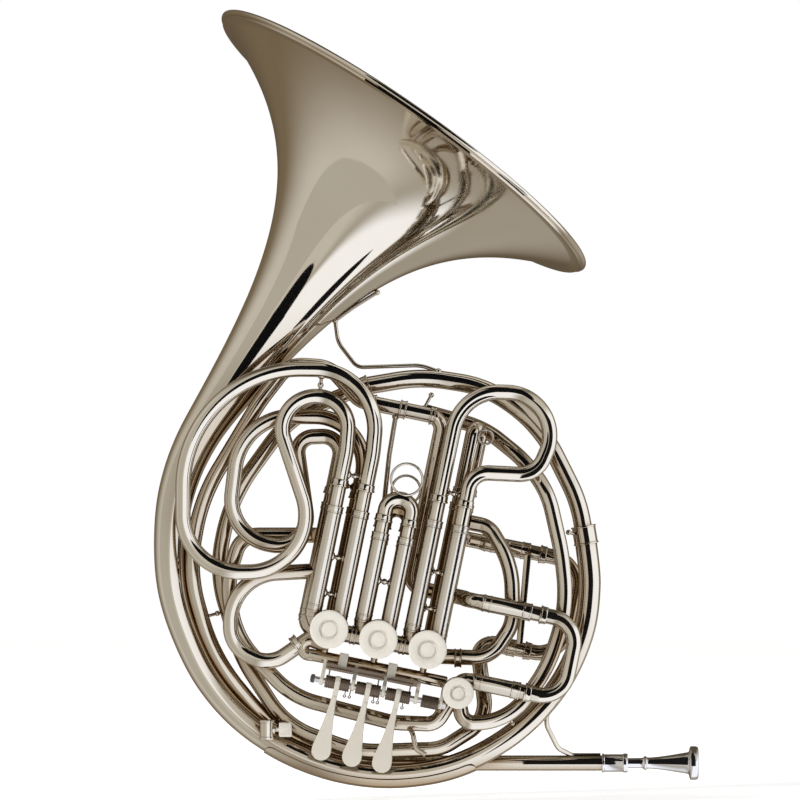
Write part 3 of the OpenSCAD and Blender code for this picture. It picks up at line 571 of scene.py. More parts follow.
def valves():
    for i, (u, w) in enumerate(VALVES + [(CHANGE_U, CHANGE_W)], 1):
        main = i < 4
        front, r, rotor, cap = (-34, CASING_R, 11.4, CASING_R + 0.7) if main else (-30, 10.3, 9, 11)
        name = f"valve_{i}" if main else "change_valve"
        at = row(u, 0, w)
        node = f"valve_casing_{i}" if main else "change_valve_casing"
        Shape().turned(at, BACK, casing_profile(front, r, rotor + 0.05), 96).make(
            f"{name}_shell", NICKEL, replaces=(node,), slot="nickel_silver")
        node = f"valve_cap_{i}" if main else "change_valve_cap"
        Shape().turned(at, BACK, cap_profile(front, cap), 180, flutes=60, depth=0.18, fluted=(10, 11)).make(
            f"{name}_lid", SATIN, replaces=(node,), slot="satin_caps")


def valve_links():
    """The short passages between neighbouring valve casings, and the bend below the first valve."""
    shape = Shape()
    for a, b in ((-PITCH, 0), (0, PITCH)):
        for y in (Y_FRONT, Y_BFLAT):
            pipe(shape, [(row(a + 11.5, y, -1), 0), (row(b - 11.5, y, -1), 0)], 5.8, 5.1)
            band(shape, row((a + b) / 2, y, -1), ROW_U, 4, 5, 6.1)
    pipe(shape, [(row(-34, -14, -13), 0), (row(-50.5, -14, -10.5), 5), (row(-50.5, -14, -21.5), 5),
                 (row(-42, -15, -20.5), 0)],
         4.3, 3.7)
    pipe(shape, [(row(70, Y_TUNING, -16), 0), (row(61, Y_TUNING, -16), 6.2), (row(61, Y_TUNING, -27), 0)],
         5.3, 4.7)
    shape.make("valve_link_tubes", NICKEL, slot="nickel_silver")


# ---- Slides ----

F_TOPS, BFLAT_TOPS = (85, 73, 89), (86, 70, 104)
BFLAT_SHIFT = (-8, -4, 0)


def f_leg(i, side):
    return VALVES[i - 1][0] - 4 + side * 9.25


def bflat_leg(i, side):
    if i == 3:
        return (PITCH + (1 if side < 0 else 6), Y_BFLAT if side < 0 else 0)
    return (VALVES[i - 1][0] + BFLAT_SHIFT[i - 1] + side * 9, Y_BFLAT)


def low_end(offset):
    """Where a sleeve's foot meets its casing: lower for the legs that stand over the casing."""
    if abs(offset) < 8:
        return 6
    return sqrt((CASING_R - 0.7) ** 2 - max(abs(offset) - SLEEVE_R, 0) ** 2)


def sleeve_profile(low, high, mouth=5):
    """A sleeve with a collar at its mouth and two turned lines above its foot, open only a little way in."""
    r = SLEEVE_R
    return [(5.25, low - 3.4), (5.5, low - 3.4), (5.65, low - 1.4), (r + 0.15, low), (r + 0.4, low + 0.3),
            (r + 0.4, low + 1.1), (r, low + 1.4), (r, low + 4.6),
            (r + 0.3, low + 4.8), (r + 0.3, low + 5.5), (r, low + 5.7), (r, high - mouth - 0.2),
            (r + 0.2, high - mouth), (r + 0.5, high - mouth + 0.3),
            (r + 0.5, high - mouth + 1.0), (r + 0.3, high - mouth + 1.2), (r + 0.3, high - 1.3),
            (r + 0.5, high - 1.1),
            (r + 0.5, high - 0.25), (r + 0.3, high), (5.25, high), (5.25, high - 8.5)]


def knuckle(shape, valve_u, u, y):
    """The short bend that carries a sleeve's foot round into its valve casing."""
    low = low_end(u - valve_u)
    if abs(u - valve_u) < 8:
        return
    pipe(shape, [(row(u, y, low + 2), 0), (row(u, y, low - 6.5), 7.5), (row(valve_u, y, low - 10), 0)], 5.3,
         4.7)


def stud(shape, a, b):
    """A stay between two tubes: a thin stem with a ball in its middle and a foot on each tube."""
    a, b = Vector(a), Vector(b)
    way = (b - a).normalized()
    size = (b - a).length
    profile = [(0.01, 0), (3.1, 0), (2.9, 0.7), (1.7, 1.4), (1.25, 1.9), (1.25, size / 2 - 1.6),
               (1.9, size / 2 - 1.2),
               (2.2, size / 2)]
    profile += [(r, size - z) for r, z in reversed(profile[:-1])]
    shape.turned(a, way, profile, 28)


def studs():
    """Stays between neighbouring tubes of one slide, and between the fixed sleeves."""
    sets = {
        "horn_body": [(row(f_leg(i, -1) + 5.4, Y_FRONT, w), row(f_leg(i, 1) - 5.4, Y_FRONT, w))
                      for i, w in ((1, 50), (2, 40), (3, 54), (1, 24), (3, 28))],
        "first_f_slide": [(row(f_leg(1, -1) + 5, Y_FRONT, 108), row(f_leg(1, 1) - 5, Y_FRONT, 108)),
                          ((-39.6, Y_FRONT, 183), (-41, Y_FRONT, 171))],
        "first_bflat_slide": [(row(bflat_leg(1, -1)[0] + 5, Y_BFLAT, 100),
                               row(bflat_leg(1, 1)[0] - 5, Y_BFLAT, 100))],
        "third_f_slide": [(row(f_leg(3, -1) + 5, Y_FRONT, 110), row(f_leg(3, 1) - 5, Y_FRONT, 110))]}
    for body, pairs in sets.items():
        shape = Shape()
        for a, b in pairs:
            stud(shape, a, b)
        shape.make(f"{body}_studs", NICKEL, body, slot="nickel_silver")


def sleeves():
    f, b = Shape(), Shape()
    for i, (valve_u, _) in enumerate(VALVES, 1):
        for side in (-1, 1):
            legs = ((f, f_leg(i, side), Y_FRONT, F_TOPS), (b, *bflat_leg(i, side), BFLAT_TOPS))
            for shape, u, y, tops in legs:
                shape.turned(row(u, y, 0), ROW_W, sleeve_profile(low_end(u - valve_u), tops[i - 1]), 56)
                knuckle(shape, valve_u, u, y)
    f.make("f_sleeves", SLEEVE, replaces=("f_slide_sleeves",), slot="nickel_silver")
    b.make("bflat_sleeves", SLEEVE, replaces=("bflat_slide_sleeves",), slot="nickel_silver")
    t = Shape()
    t.turned(row(0, Y_TUNING, 39.3), ROW_U, sleeve_profile(66.5, 101, 6), 56)
    t.turned(row(0, Y_TUNING, -16), ROW_U, sleeve_profile(71, 104, 6), 56)
    t.make("main_tuning_sleeves", NICKEL, replaces=("tuning_sleeves",), slot="nickel_silver")
    t = Shape()
    u = bflat_leg(3, 1)[0]
    pipe(t, [(row(u, 5.6, 80), 0), (row(u, F_TUNING_Y, 80), 9), (row(60.6, F_TUNING_Y, 80), 0)])
    t.turned(row(0, F_TUNING_Y, 80), ROW_U, sleeve_profile(60, 92, 6), 56)
    t.turned(row(0, F_TUNING_Y, 11.5), ROW_U, sleeve_profile(81, 96, 6), 56)
    t.make("f_tuning_sleeve_pair", NICKEL, replaces=("f_tuning_sleeves",), slot="nickel_silver")


def crook(name, body, node, route, leg, along, rings=()):
    """A slide's bow: bent tube, ferrules, the two legs behind them, and pull rings."""
    shape = Shape()
    pipe(shape, route)
    for place in (route[0][0], route[-1][0]):
        low = place - along * leg
        shape.turned(low, along, [(4.7, 4), (4.7, 0), (LEG_R - 0.15, 0), (LEG_R, 0.15), (LEG_R, leg + 3)], 48)
        shape.turned(place, along, [(5.0, 0), (TUBE_R + 0.9, 0), (TUBE_R + 1.15, 0.2), (TUBE_R + 1.2, 0.7),
                                    (TUBE_R + 1.1, 1.2), (TUBE_R + 0.75, 1.45), (TUBE_R + 0.7, 3.9),
                                    (TUBE_R + 0.62, 4.7), (TUBE_R + 0.35, 5), (5.0, 5)], 56)
    for centre, way, r in rings:
        line = []
        side = way.orthogonal().normalized()
        up = way.cross(side)
        for k in range(65):
            a = 2 * pi * k / 64
            line.append((centre + r * (cos(a) * side + sin(a) * up), -sin(a) * side + cos(a) * up, 0.9))
        shape.sweep(line, 16)
    shape.make(name, NICKEL, body, replaces=(node,), slot="nickel_silver")


def crooks():
    def up(points):
        return [(row(u, y, w), r) for u, y, w, r in points]

    l, r = f_leg(1, -1), f_leg(1, 1)
    crook("f_bow_1", "first_f_slide", "first_f_crook", up([
        (r, Y_FRONT, 99, 0), (r, Y_FRONT, 125, 80), (-36, Y_FRONT, 184, 42), (-171, Y_FRONT, 158, 82),
        (-143, Y_FRONT, 18, 40), (-44, Y_FRONT, 39, 40), (-108, Y_FRONT, 150, 23), (-53, Y_FRONT, 162, 22),
        (l, Y_FRONT, 124, 60), (l, Y_FRONT, 99, 0)]), 48, ROW_W)
    l, r = f_leg(2, -1), f_leg(2, 1)
    crook("f_bow_2", "second_f_slide", "second_f_crook", up([
        (l, Y_FRONT, 81, 0), (l, Y_FRONT, 98.5, 9), (r, Y_FRONT, 98.5, 9), (r, Y_FRONT, 81, 0)]), 40, ROW_W,
        [(row(-3, Y_FRONT - 4, 113), BACK, 11)])
    l, r = f_leg(3, -1), f_leg(3, 1)
    crook("f_bow_3", "third_f_slide", "third_f_crook", up([
        (l, Y_FRONT, 102, 0), (22, Y_FRONT, 181, 32), (97, Y_FRONT, 194, 30),
        (85, Y_FRONT, 134, 18), (r, Y_FRONT, 127, 14), (r, Y_FRONT, 102, 0)]), 48, ROW_W)
    l, r = bflat_leg(1, -1)[0], bflat_leg(1, 1)[0]
    crook("bflat_bow_1", "first_bflat_slide", "first_bflat_crook", up([
        (r, Y_BFLAT, 92, 0), (r, Y_BFLAT, 151, 34), (-125, Y_BFLAT, 133, 40), (-118, Y_BFLAT, 48, 32),
        (-58, Y_BFLAT, 50, 20), (-85, Y_BFLAT, 126, 11), (l, Y_BFLAT, 134, 12), (l, Y_BFLAT, 92, 0)]), 40,
        ROW_W)
    l, r = bflat_leg(2, -1)[0], bflat_leg(2, 1)[0]
    crook("bflat_bow_2", "second_bflat_slide", "second_bflat_crook", up([
        (l, Y_BFLAT, 76, 0), (l, Y_BFLAT, 91, 8.75), (r, Y_BFLAT, 91, 8.75), (r, Y_BFLAT, 76, 0)]), 36, ROW_W,
        [(row(-2, Y_BFLAT, 105.5), BACK, 10)])
    (a, ya), (b, yb) = bflat_leg(3, -1), bflat_leg(3, 1)
    bow = sqrt((b - a) ** 2 + (yb - ya) ** 2) / 2 - 0.25
    crook("bflat_bow_3", "third_bflat_slide", "third_bflat_crook", up([
        (a, ya, 110, 0), (a, ya, 158, bow), (b, yb, 158, bow), (b, yb, 110, 0)]), 50, ROW_W,
        [(row(a + 9, ya - 4, 153), BACK, 5)])
    crook("main_tuning_bow", "main_tuning_slide", "main_tuning_crook", up([
        (107, Y_TUNING, 39.3, 0), (134.5, Y_TUNING, 39.3, 18), (134.5, Y_TUNING, -16, 18),
        (107, Y_TUNING, -16, 0)]),
        30, ROW_U)
    crook("f_tuning_bow", "f_tuning_slide", "f_tuning_crook", up([
        (99, F_TUNING_Y, 80, 0), (128, F_TUNING_Y, 80, 19), (128, F_TUNING_Y, 11.5, 19),
        (102, F_TUNING_Y, 11.5, 0)]),
        19, ROW_U)


# ---- Stop arms, bumpers and bearing plates ----

STRING_SIDE = (1, 1, -1)
STRING_OFF, STRING_LEN = 6.2, 10
ARM_HALF, BUMPER_R = 1.3, 1.5


def valve_way(angle):
    """A direction across a valve's axis: 0 is +u, 90 is away from the slides."""
    return ROW_U * cos(radians(angle)) - ROW_W * sin(radians(angle))


def valve_backs():
    plates, corks = Shape(), Shape()
    for i, (u, w) in enumerate(VALVES + [(CHANGE_U, CHANGE_W)], 1):
        main = i < 4
        r = 11.4 if main else 9
        side = STRING_SIDE[i - 1] if main else 1
        name = f"valve_{i}" if main else "change_valve"
        at = row(u, 0, w)
        z = VALVE_BACK - 0.8
        plates.turned(at, BACK, [(3.05, z), (r + 0.2, z), (r + 0.2, z + 2.6), (r, z + 2.9), (r - 0.3, z + 3),
                                 (r - 2.2, z + 3), (r - 2.4, z + 2.85), (r - 2.6, z + 3), (5.6, z + 3),
                                 (5.4, z + 2.8), (5.2, z + 3), (3.25, z + 3), (3.05, z + 2.8)], 72)
        rest = 45 if side > 0 else 135
        reach = r - 2.2
        miss = degrees(asin((BUMPER_R + ARM_HALF) / reach)) + 0.6
        for a in (rest + side * miss, rest - side * (90 + miss)):
            foot = at + valve_way(a) * reach
            z0 = VALVE_BACK + 1.8
            corks.turned(foot, BACK, [(0.01, z0), (BUMPER_R, z0), (BUMPER_R, z0 + 4.6),
                                      (BUMPER_R - 0.25, z0 + 4.95),
                                      (0.01, z0 + 5)], 24)
        arm = Shape()
        z = VALVE_BACK + 2.8
        arm.turned(at, BACK, [(2.9, z), (4.9, z), (5, z + 0.15), (5, z + 0.9), (4.6, z + 1.15),
                              (4.6, z + 3.2),
                              (5, z + 3.45), (5, z + 4.25), (4.85, z + 4.4), (2.9, z + 4.4)], 56)
        out = valve_way(rest)
        across = BACK.cross(out)
        arm.plate([(2, -ARM_HALF), (8.4, -ARM_HALF), (8.85, -0.8), (9, 0), (8.85, 0.8), (8.4, ARM_HALF),
                   (2, ARM_HALF)],
                  2.6, 0.3, at + BACK * z, out, across)
        node = f"stop_arm_{i}" if main else "change_stop_arm"
        body = ("first_valve", "second_valve", "third_valve", "change_valve")[i - 1]
        arm.make(f"{name}_stop", NICKEL, body, replaces=(node,), slot="nickel_silver")
        screw = Shape()
        s = z + 4.4
        screw.turned(at, BACK, [(2.2, s - 0.4), (2.2, s), (1.6, s), (1.6, s - 0.3), (0.01, s - 0.3)], 32)
        screw.make(f"{name}_stem_screw", SPRING, body, slot="spring_steel")
    plates.make("valve_back_plates", NICKEL, replaces=("bearing_plates",), slot="nickel_silver")
    corks.make("valve_bumpers", CORK, slot="nickel_silver")


# ---- Levers, hinge rod, springs, posts and strings ----

LEVER_US = (-21.8, 0, 21.3)
LEVER_LEN, PLATE_W = 55, 13.6
ARM_REACH = 34
THUMB_U, THUMB_BAR_Y = 44, 6.6


def paddle_outline():
    """A finger lever seen from the front: a waisted stem that swells into a round plate."""
    r = PLATE_W / 2
    cx, cy = -1.6, -LEVER_LEN + r
    stem = []
    n = 14
    for k in range(n + 1):
        f = k / n
        y = -6 + (cy + 3 + 6) * f
        half = 1.75 + (r - 1.75) * (f ** 1.7) * (0.90 + 0.075 * f)
        stem.append((cx * f, y, half))
    left = [(x - h, y) for x, y, h in stem]
    right = [(x + h, y) for x, y, h in reversed(stem)]
    return left + circle(cx, cy, r, 180 + 0, 360, 28) + right


def spring_barrel(hub, half):
    """The close-wound return spring round a lever's hub, closed by a washer at each end."""
    turns = 14
    pitch = 2 * half / turns
    profile = [(4.06, -half + 0.8), (2.4, -half + 0.8), (2.4, -half)]
    for k in range(turns):
        for share, r in ((0.08, 4.2), (0.3, 4.55), (0.5, 4.62), (0.7, 4.55), (0.92, 4.2)):
            profile.append((r, -half + (k + share) * pitch))
    return Shape().turned(hub, ROW_U, profile + [(2.4, half), (2.4, half - 0.8), (4.06, half - 0.8),
                                                 (4.06, -half + 0.8)], 48)


def levers():
    for i in (1, 2, 3):
        u = LEVER_US[i - 1]
        arm_u = VALVES[i - 1][0] + STRING_SIDE[i - 1] * STRING_OFF
        hub = row(u, HINGE_Y, HINGE_W)
        shape = Shape()
        shape.turned(hub, ROW_U, [(2.06, -6.5), (2.9, -6.5), (3, -6.3), (3, -5.2), (2.75, -5), (2.75, 5),
                                  (3, 5.2),
                                  (3, 6.3), (2.9, 6.5), (2.06, 6.5)], 40)
        shape.plate(paddle_outline(), 2, 0.7, hub + BACK * -1, ROW_U, ROW_W)
        shape.turned(hub, ROW_U, [(3, -1.8), (4.85, -1.8), (5.05, -1.6), (5.05, 1.6), (4.85, 1.8),
                                  (3, 1.8)], 40)
        shape.plate([(-1.8, -8.5), (1.8, -8.5), (1.8, 1.2), (0, 2.2), (-1.8, 1.2)], 4, 0.5,
                    hub + BACK * -1.2, ROW_U, ROW_W)
        low = row(0, 0, HINGE_W - 2.9)
        a, b = min(u, arm_u) - 1.5, max(u, arm_u) + 1.5
        shape.plate(rect(a, 0, b, 3.4), 2.2, 0.35, low + BACK * HINGE_Y, ROW_U, BACK)
        shape.plate([(arm_u - 1.5, 0), (arm_u + 1.5, 0), (arm_u + 1.5, ARM_REACH - 0.5),
                     (arm_u + 1, ARM_REACH),
                     (arm_u - 1, ARM_REACH), (arm_u - 1.5, ARM_REACH - 0.5)], 2.4, 0.35,
                    low + BACK * HINGE_Y, ROW_U, BACK)
        body = ("first_lever", "second_lever", "third_lever")[i - 1]
        shape.make(f"finger_paddle_{i}", LEVER, body, replaces=(f"finger_lever_{i}",), slot="satin_levers")
        tie = Shape()
        string(tie, arm_u, HINGE_Y + ARM_REACH - 2.5)
        tie.make(f"finger_string_{i}", CORD, body, replaces=(f"lever_string_{i}",), slot="string_cord")
        spring_barrel(hub, 8.7).make(f"spring_barrel_{i}", SPRING, body, slot="spring_steel")
    shape = Shape()
    hub = row(THUMB_U, HINGE_Y, HINGE_W)
    shape.turned(hub, ROW_U, [(2.06, -6), (2.9, -6), (3, -5.8), (3, -4.8), (2.75, -4.6), (2.75, 4.6),
                              (3, 4.8),
                              (3, 5.8), (2.9, 6), (2.06, 6)], 40)
    low = row(0, 0, HINGE_W - 2.9)
    end = CHANGE_U + STRING_OFF + 1.5
    shape.plate(rect(THUMB_U - 2, 0, THUMB_U + 2, 58), 2.6, 0.4,
                low + BACK * HINGE_Y, ROW_U, BACK)
    shape.plate(rect(THUMB_U - 2, THUMB_BAR_Y, end, THUMB_BAR_Y + 3.2),
                2.4, 0.35, low, ROW_U, BACK)
    shape.plate(circle(THUMB_U, HINGE_Y + 62, 8.5, 0, 354, 59), 2.8, 1.0, low - ROW_W * 0.1, ROW_U, BACK)
    shape.make("thumb_paddle", LEVER, "change_lever", replaces=("thumb_lever",), slot="satin_levers")
    tie = Shape()
    string(tie, CHANGE_U + STRING_OFF, THUMB_BAR_Y + 1.6)
    tie.make("thumb_tie", CORD, "change_lever", replaces=("thumb_string",), slot="string_cord")
    spring_barrel(hub, 6.1).make("spring_barrel_4", SPRING, "change_lever", slot="spring_steel")


def string(shape, u, y):
    """The cord's free length from its lever: two plies laid round each other."""
    foot = row(u, y, HINGE_W - 1.2)
    n = 60
    for phase in (0, pi):
        line = []
        for k in range(n + 1):
            a = phase + 2 * pi * 5 * k / n
            line.append((foot + ROW_W * STRING_LEN * k / n + ROW_U * 0.27 * cos(a) + BACK * 0.27 * sin(a),
                         ROW_W, 0.31))
        shape.sweep(line, 10)


def lever_frame():
    rod = Shape()
    start, end = -38, 53
    at = row(0, HINGE_Y, HINGE_W)
    rod.turned(at, ROW_U, [(0.01, start), (2, start), (2, end), (0.01, end)], 40)
    rod.turned(at, ROW_U, [(0.01, end + 2.1), (0.5, end + 2.5), (2.6, end + 2.5), (3, end + 2.2), (3, end),
                           (0.01, end)], 40)
    rod.make("hinge_pin", SILVER, replaces=("hinge_rod",), slot="silver_plate")
    tip = Shape()
    tip.turned(at, ROW_U, [(0.01, start - 3), (1.6, start - 3), (2.6, start - 2.6), (3, start - 2),
                           (3, start),
                           (0.01, start)], 40)
    tip.make("hinge_pin_tip", DARK, slot="spring_steel")
    coils = Shape()
    for u in (LEVER_US[0] + 2.6, LEVER_US[1] - 6.4, LEVER_US[2] - 6.4, THUMB_U - 5.9):
        turns, n = 5, 150
        line = []
        for k in range(n + 1):
            a = 2 * pi * turns * k / n
            line.append((row(u, HINGE_Y, HINGE_W) + ROW_U * (0.4 + 3.0 * k / n)
                         + 3.6 * (cos(a) * BACK + sin(a) * ROW_W), (sin(a) * -BACK + cos(a) * ROW_W), 0.38))
        coils.sweep(line, 10)
    coils.make("spring_coils", SPRING, replaces=("lever_springs",), slot="spring_steel")
    posts = Shape()
    for u in (-33, -11, 10.7, 34, 51.6):
        a = (HINGE_Y, HINGE_W, 3.4)
        b = (-17, -22.5, 2.4)
        angle = atan2(b[1] - a[1], b[0] - a[0]) * 180 / pi
        outline = circle(a[0], a[1], a[2], angle + 90 + 4, angle + 270 - 4, 24)
        outline += circle(b[0], b[1], b[2], angle - 86, angle + 86, 18)
        posts.plate(outline, 2.6, 0.4, row(u - 1.3, 0, 0), BACK, ROW_W)
        posts.turned(row(u - 1.3, HINGE_Y, HINGE_W), ROW_U, [(2.0, -0.0), (2.7, 0), (2.7, 2.6), (2.0, 2.6)],
                     32)
    posts.make("hinge_posts", LEVER, replaces=("lever_posts",), slot="satin_levers")
    rail = Shape()
    at = row(0, -15, -20.5)
    rail.turned(at, ROW_U, [(0.01, -46), (2.6, -46), (3.8, -45.6), (4.2, -44.8), (4.2, 51.8), (3.8, 52.6),
                            (2.6, 53),
                            (0.01, 53)], 48)
    for u, _ in VALVES:
        rail.turned(row(u, -15, -20.5), ROW_W, [(2.4, 3.5), (2.4, 8.3), (2.4, 8.3)], 32)
    rail.make("rail_tube", NICKEL, replaces=("lever_rail",), slot="nickel_silver")
    blocks = Shape()
    for u in (-21, 13.7):
        blocks.plate(rect(-3.1, -25.2, 3.1, -14.6), 2.4, 0.45, row(u, -21.4, 0), ROW_U, ROW_W)
        blocks.turned(row(u, -21.8, -17.2), BACK, [(0.01, 0), (1.1, 0), (1.3, 0.2), (1.3, 0.6)], 28)
    blocks.make("rail_blocks", LEVER, slot="satin_levers")
    plates = Shape()
    for u in LEVER_US:
        plates.plate(rect(u - 9, 0, u + 9, 9), 2, 0.4, row(0, HINGE_Y - 4, HINGE_W + 8.2), ROW_U, BACK)
    plates.plate(rect(-32, 0, 34, 1.2), 4.6, 0.4, row(0, HINGE_Y + 4.4, HINGE_W + 8.4), ROW_U, BACK)
    plates.make("spring_plates", SPRING, slot="spring_steel")
    hooks = Shape()
    for u in (LEVER_US[0] + 6.6, LEVER_US[0] + 10, LEVER_US[1] + 5, LEVER_US[1] + 8.2, LEVER_US[2] + 4.4):
        top = row(u, HINGE_Y - 2, HINGE_W - 1)
        ring = [(top - ROW_W * 6.6 + 0.85 * (cos(a) * ROW_U + sin(a) * ROW_W),
                 -sin(a) * ROW_U + cos(a) * ROW_W, 0.38)
                for a in [radians(90 - 15 * k) for k in range(23)]]
        hooks.sweep([(top, -ROW_W, 0.38), (top - ROW_W * 5.7, -ROW_W, 0.38)], 10)
        hooks.sweep([(p, -t, r) for p, t, r in ring], 10)
    hooks.make("spring_hooks", SPRING, slot="spring_steel")


# ---- Finger hook and lyre socket ----

def fittings():
    socket = Shape()
    at = Vector((-78, -6.5, -64))
    socket.turned(at, (0, 0, 1), [(3.0, -1), (3.0, -7), (4.6, -7), (5.2, -6.7), (5.4, -6), (5.4, -5.2),
                                  (4.9, -4.9),
                                  (4.9, 4.9), (5.4, 5.2), (5.4, 6), (5.2, 6.7), (4.6, 7), (3.0, 7),
                                  (3.0, -1)], 64)
    socket.bar([(-78, -3, -62, 0), (-79, 3, -66, 5), (-80, 6, -67, 0)], 2.4, 3.2)
    socket.turned(at + Vector((3.6, 0, 0)), (1, 0, 0), [(0.01, 0), (3, 0), (3, 1.6), (2.7, 2), (0.01, 2)], 40)
    socket.make("lyre_box", NICKEL, replaces=("lyre_socket",), slot="nickel_silver")
    Shape().bar([(20, -6, -60, 0), (24, -17, -66, 7), (26, -19, -77, 6), (33, -19, -81, 0)], 1.8).make(
        "little_finger_hook", NICKEL, replaces=("finger_hook",), slot="nickel_silver")
    knob = Shape()
    knob.turned((-78, -6.5, -64), (1, 0, 0), [(0.01, 3.6), (1.35, 3.6), (1.35, 8.4), (4.4, 8.4),
                                              (4.85, 8.7), (5, 9.2),
                                            (5, 16.4), (4.85, 17), (4.3, 17.4), (2.2, 17.4), (2.0, 17.1),
                                            (0.01, 17.1)], 120, flutes=30, depth=0.35, fluted=(4, 5, 6, 7))
    knob.make("lyre_knob", SATIN, replaces=("lyre_screw",), slot="satin_caps")


# ---- Floor, background and light ----

def stage():
    mesh = bpy.data.meshes.new("floor")
    low, size = cad_low.z - 0.012, 4
    mesh.from_pydata([(x, y, low) for x, y in rect(-size, -size, size, size)], [], [(0, 1, 2, 3)])
    floor = bpy.data.objects.new("floor", mesh)
    bpy.context.scene.collection.objects.link(floor)
    mat = bpy.data.materials.new("floor")
    mat.use_nodes = True
    shader = mat.node_tree.nodes["Principled BSDF"]
    shader.inputs["Base Color"].default_value = (0.93, 0.93, 0.93, 1)
    shader.inputs["Roughness"].default_value = 0.9
    shader.inputs["Emission Color"].default_value = (1, 1, 1, 1)
    shader.inputs["Emission Strength"].default_value = 0.8
    mesh.materials.append(mat)
    floor.visible_glossy = False


def studio_mesh(name, points, faces, colour):
    """A plain studio card that only reflections see."""
    mesh = bpy.data.meshes.new(name)
    mesh.from_pydata(points, [], faces)
    mat = bpy.data.materials.new(name)
    mat.use_nodes = True
    shader = mat.node_tree.nodes["Principled BSDF"]
    shader.inputs["Base Color"].default_value = (0, 0, 0, 1)
    shader.inputs["Specular IOR Level"].default_value = 0
    shader.inputs["Emission Color"].default_value = (*colour, 1)
    shader.inputs["Emission Strength"].default_value = 1
    mesh.materials.append(mat)
    obj = bpy.data.objects.new(name, mesh)
    bpy.context.scene.collection.objects.link(obj)
    obj.visible_camera = False
    obj.visible_diffuse = False
    obj.visible_shadow = False


def flat_card(name, y, box, colour):
    """An upright studio card facing the horn: box is left, low, right and high."""
    studio_mesh(name, [(x, y, z) for x, z in rect(*box)], [(0, 1, 2, 3)], colour)


def dark_card():
    """A dark oval in front and above: part of a sphere, so that its reflection shifts over the horn."""
    centre, reach, rings, sides = Vector((0.015, 0, 0.14)), 0.42, 14, 64
    points = []
    for k in range(rings + 1):
        for j in range(sides):
            a = 2 * pi * j / sides
            along = 27 + 44 * k / rings * cos(a)
            over = 21 + 26 * k / rings * sin(a)
            across, rise = (along - over) * 0.7071, (along + over) * 0.7071
            off = max(sqrt(across ** 2 + rise ** 2), 1e-6)
            turned = sin(radians(off)) / off
            points.append(centre + reach * Vector((turned * across, -cos(radians(off)), turned * rise)))
    faces = [(k * sides + j, k * sides + (j + 1) % sides, (k + 1) * sides + (j + 1) % sides,
              (k + 1) * sides + j)
             for k in range(rings) for j in range(sides)]
    studio_mesh("dark_card", points, faces, (0.006, 0.006, 0.007))


class Graph:
    """Arithmetic on world shader sockets."""

    def __init__(self, tree):
        self.tree = tree

    def do(self, op, a, b=0.0, c=0.0):
        node = self.tree.nodes.new("ShaderNodeMath")
        node.operation = op
        for socket, value in zip(node.inputs, (a, b, c)):
            if isinstance(value, (int, float)):
                socket.default_value = value
            else:
                self.tree.links.new(value, socket)
        return node.outputs[0]

    def ramp(self, value, low, high):
        """0 below low, 1 above high, smooth between."""
        node = self.tree.nodes.new("ShaderNodeMapRange")
        node.interpolation_type = "SMOOTHSTEP"
        node.inputs["From Min"].default_value = low
        node.inputs["From Max"].default_value = high
        self.tree.links.new(value, node.inputs["Value"])
        return node.outputs["Result"]

    def mix(self, share, a, b):
        node = self.tree.nodes.new("ShaderNodeMix")
        node.data_type = "RGBA"
        self.tree.links.new(share, node.inputs["Factor"])
        for socket, value in zip((node.inputs[6], node.inputs[7]), (a, b)):
            if isinstance(value, tuple):
                socket.default_value = (*value, 1)
            else:
                self.tree.links.new(value, socket)
        return node.outputs[2]


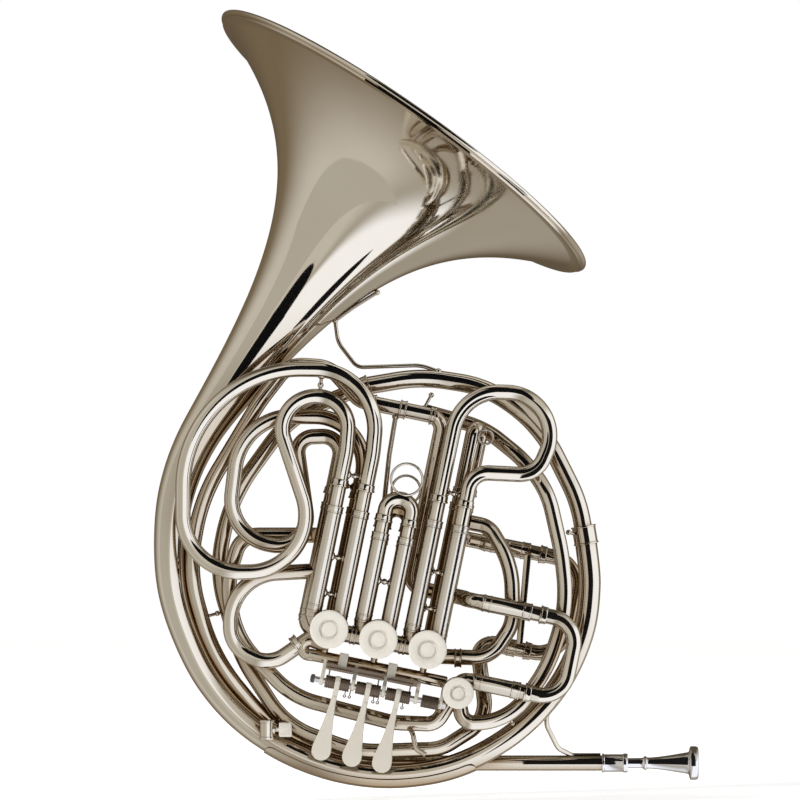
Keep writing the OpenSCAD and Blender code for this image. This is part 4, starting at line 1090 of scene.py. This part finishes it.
def studio():
    """A warm grey room, darker behind and above, white at the right and below, and three cards."""
    bpy.context.scene.view_settings.view_transform = "Standard"
    world = bpy.data.worlds.new("studio")
    bpy.context.scene.world = world
    world.use_nodes = True
    tree = world.node_tree
    g = Graph(tree)
    split = tree.nodes.new("ShaderNodeSeparateXYZ")
    tree.links.new(tree.nodes.new("ShaderNodeTexCoord").outputs["Generated"], split.inputs[0])
    x, y, z = split.outputs
    off = g.do("MULTIPLY", g.do("ARCCOSINE", g.do("MULTIPLY", y, -1.0)), 180 / pi)
    turn = g.do("ARCTAN2", z, x)
    turn = g.do("MULTIPLY", turn, 180 / pi)
    room = g.mix(g.ramp(off, 80, 140), (0.655, 0.625, 0.575), (0.205, 0.158, 0.10))
    room = g.mix(g.ramp(off, 140, 176), room, (0.12, 0.088, 0.056))
    glow = g.do("MULTIPLY", g.ramp(turn, -128, -104), g.ramp(turn, 0, -24))
    room = g.mix(g.do("MULTIPLY", glow, g.ramp(off, 168, 140)), room, (0.42, 0.385, 0.33))
    top = g.do("MULTIPLY", g.ramp(turn, 45, 75), g.ramp(turn, 140, 110))
    room = g.mix(g.do("MULTIPLY", top, g.ramp(off, 50, 85)), room, (0.10, 0.082, 0.058))
    panel = g.do("MULTIPLY", g.ramp(turn, -112, -92), g.ramp(turn, 38, 22))
    panel = g.do("MULTIPLY", panel, g.ramp(off, 118, 104))
    lit = g.mix(panel, room, (1.15, 1.18, 1.26))
    rays = tree.nodes.new("ShaderNodeLightPath")
    lit = g.mix(g.do("MULTIPLY", rays.outputs["Is Diffuse Ray"], 0.66), lit, (0, 0, 0))
    seen = g.mix(rays.outputs["Is Camera Ray"], lit, (1.0, 1.0, 1.0))
    background = tree.nodes["Background"]
    tree.links.new(seen, background.inputs["Color"])
    background.inputs["Strength"].default_value = 1.0
    sun = bpy.data.lights.new("key", "AREA")
    sun.energy, sun.size = 74, 0.35
    key = bpy.data.objects.new("key", sun)
    key.location = (-1.7, -1.5, 2.1)
    key.rotation_euler = (Vector((0, 0, 0.1)) - key.location).to_track_quat("-Z", "Y").to_euler()
    key.visible_glossy = False
    flat_card("left_card", -0.245, (-1.3, -0.50, -0.19, 0.43), (0.53, 0.505, 0.455))
    flat_card("right_card", -0.165, (0.104, -0.15, 0.268, 0.20), (0.010, 0.009, 0.009))
    dark_card()
    bpy.context.scene.collection.objects.link(key)


FINISH = {"nickel_silver": NICKEL, "silver_plate": SILVER, "satin_caps": SATIN, "satin_levers": LEVER,
          "rotor_metal": ROTOR, "spring_steel": SPRING, "string_cord": CORD}


def finish_cad_nodes():
    """Gives every CAD node that stays in view its finish and smooth shading."""
    slots = {part["node"]: part["material_slot"] for part in frame["record"]["subparts"]}
    for name, obj in frame["nodes"].items():
        finish = FINISH.get(slots.get(name), NICKEL)
        obj.data.materials.clear()
        obj.data.materials.append(finish)
        obj.data.shade_smooth()
        obj.data.set_sharp_from_angle(angle=radians(35))


make_camera()
finish_cad_nodes()
bell()
guard()
first_branch()
leadpipe()
mouthpiece()
fixed_tubes()
braces()
valves()
valve_links()
sleeves()
studs()
crooks()
valve_backs()
levers()
lever_frame()
fittings()
stage()
studio()
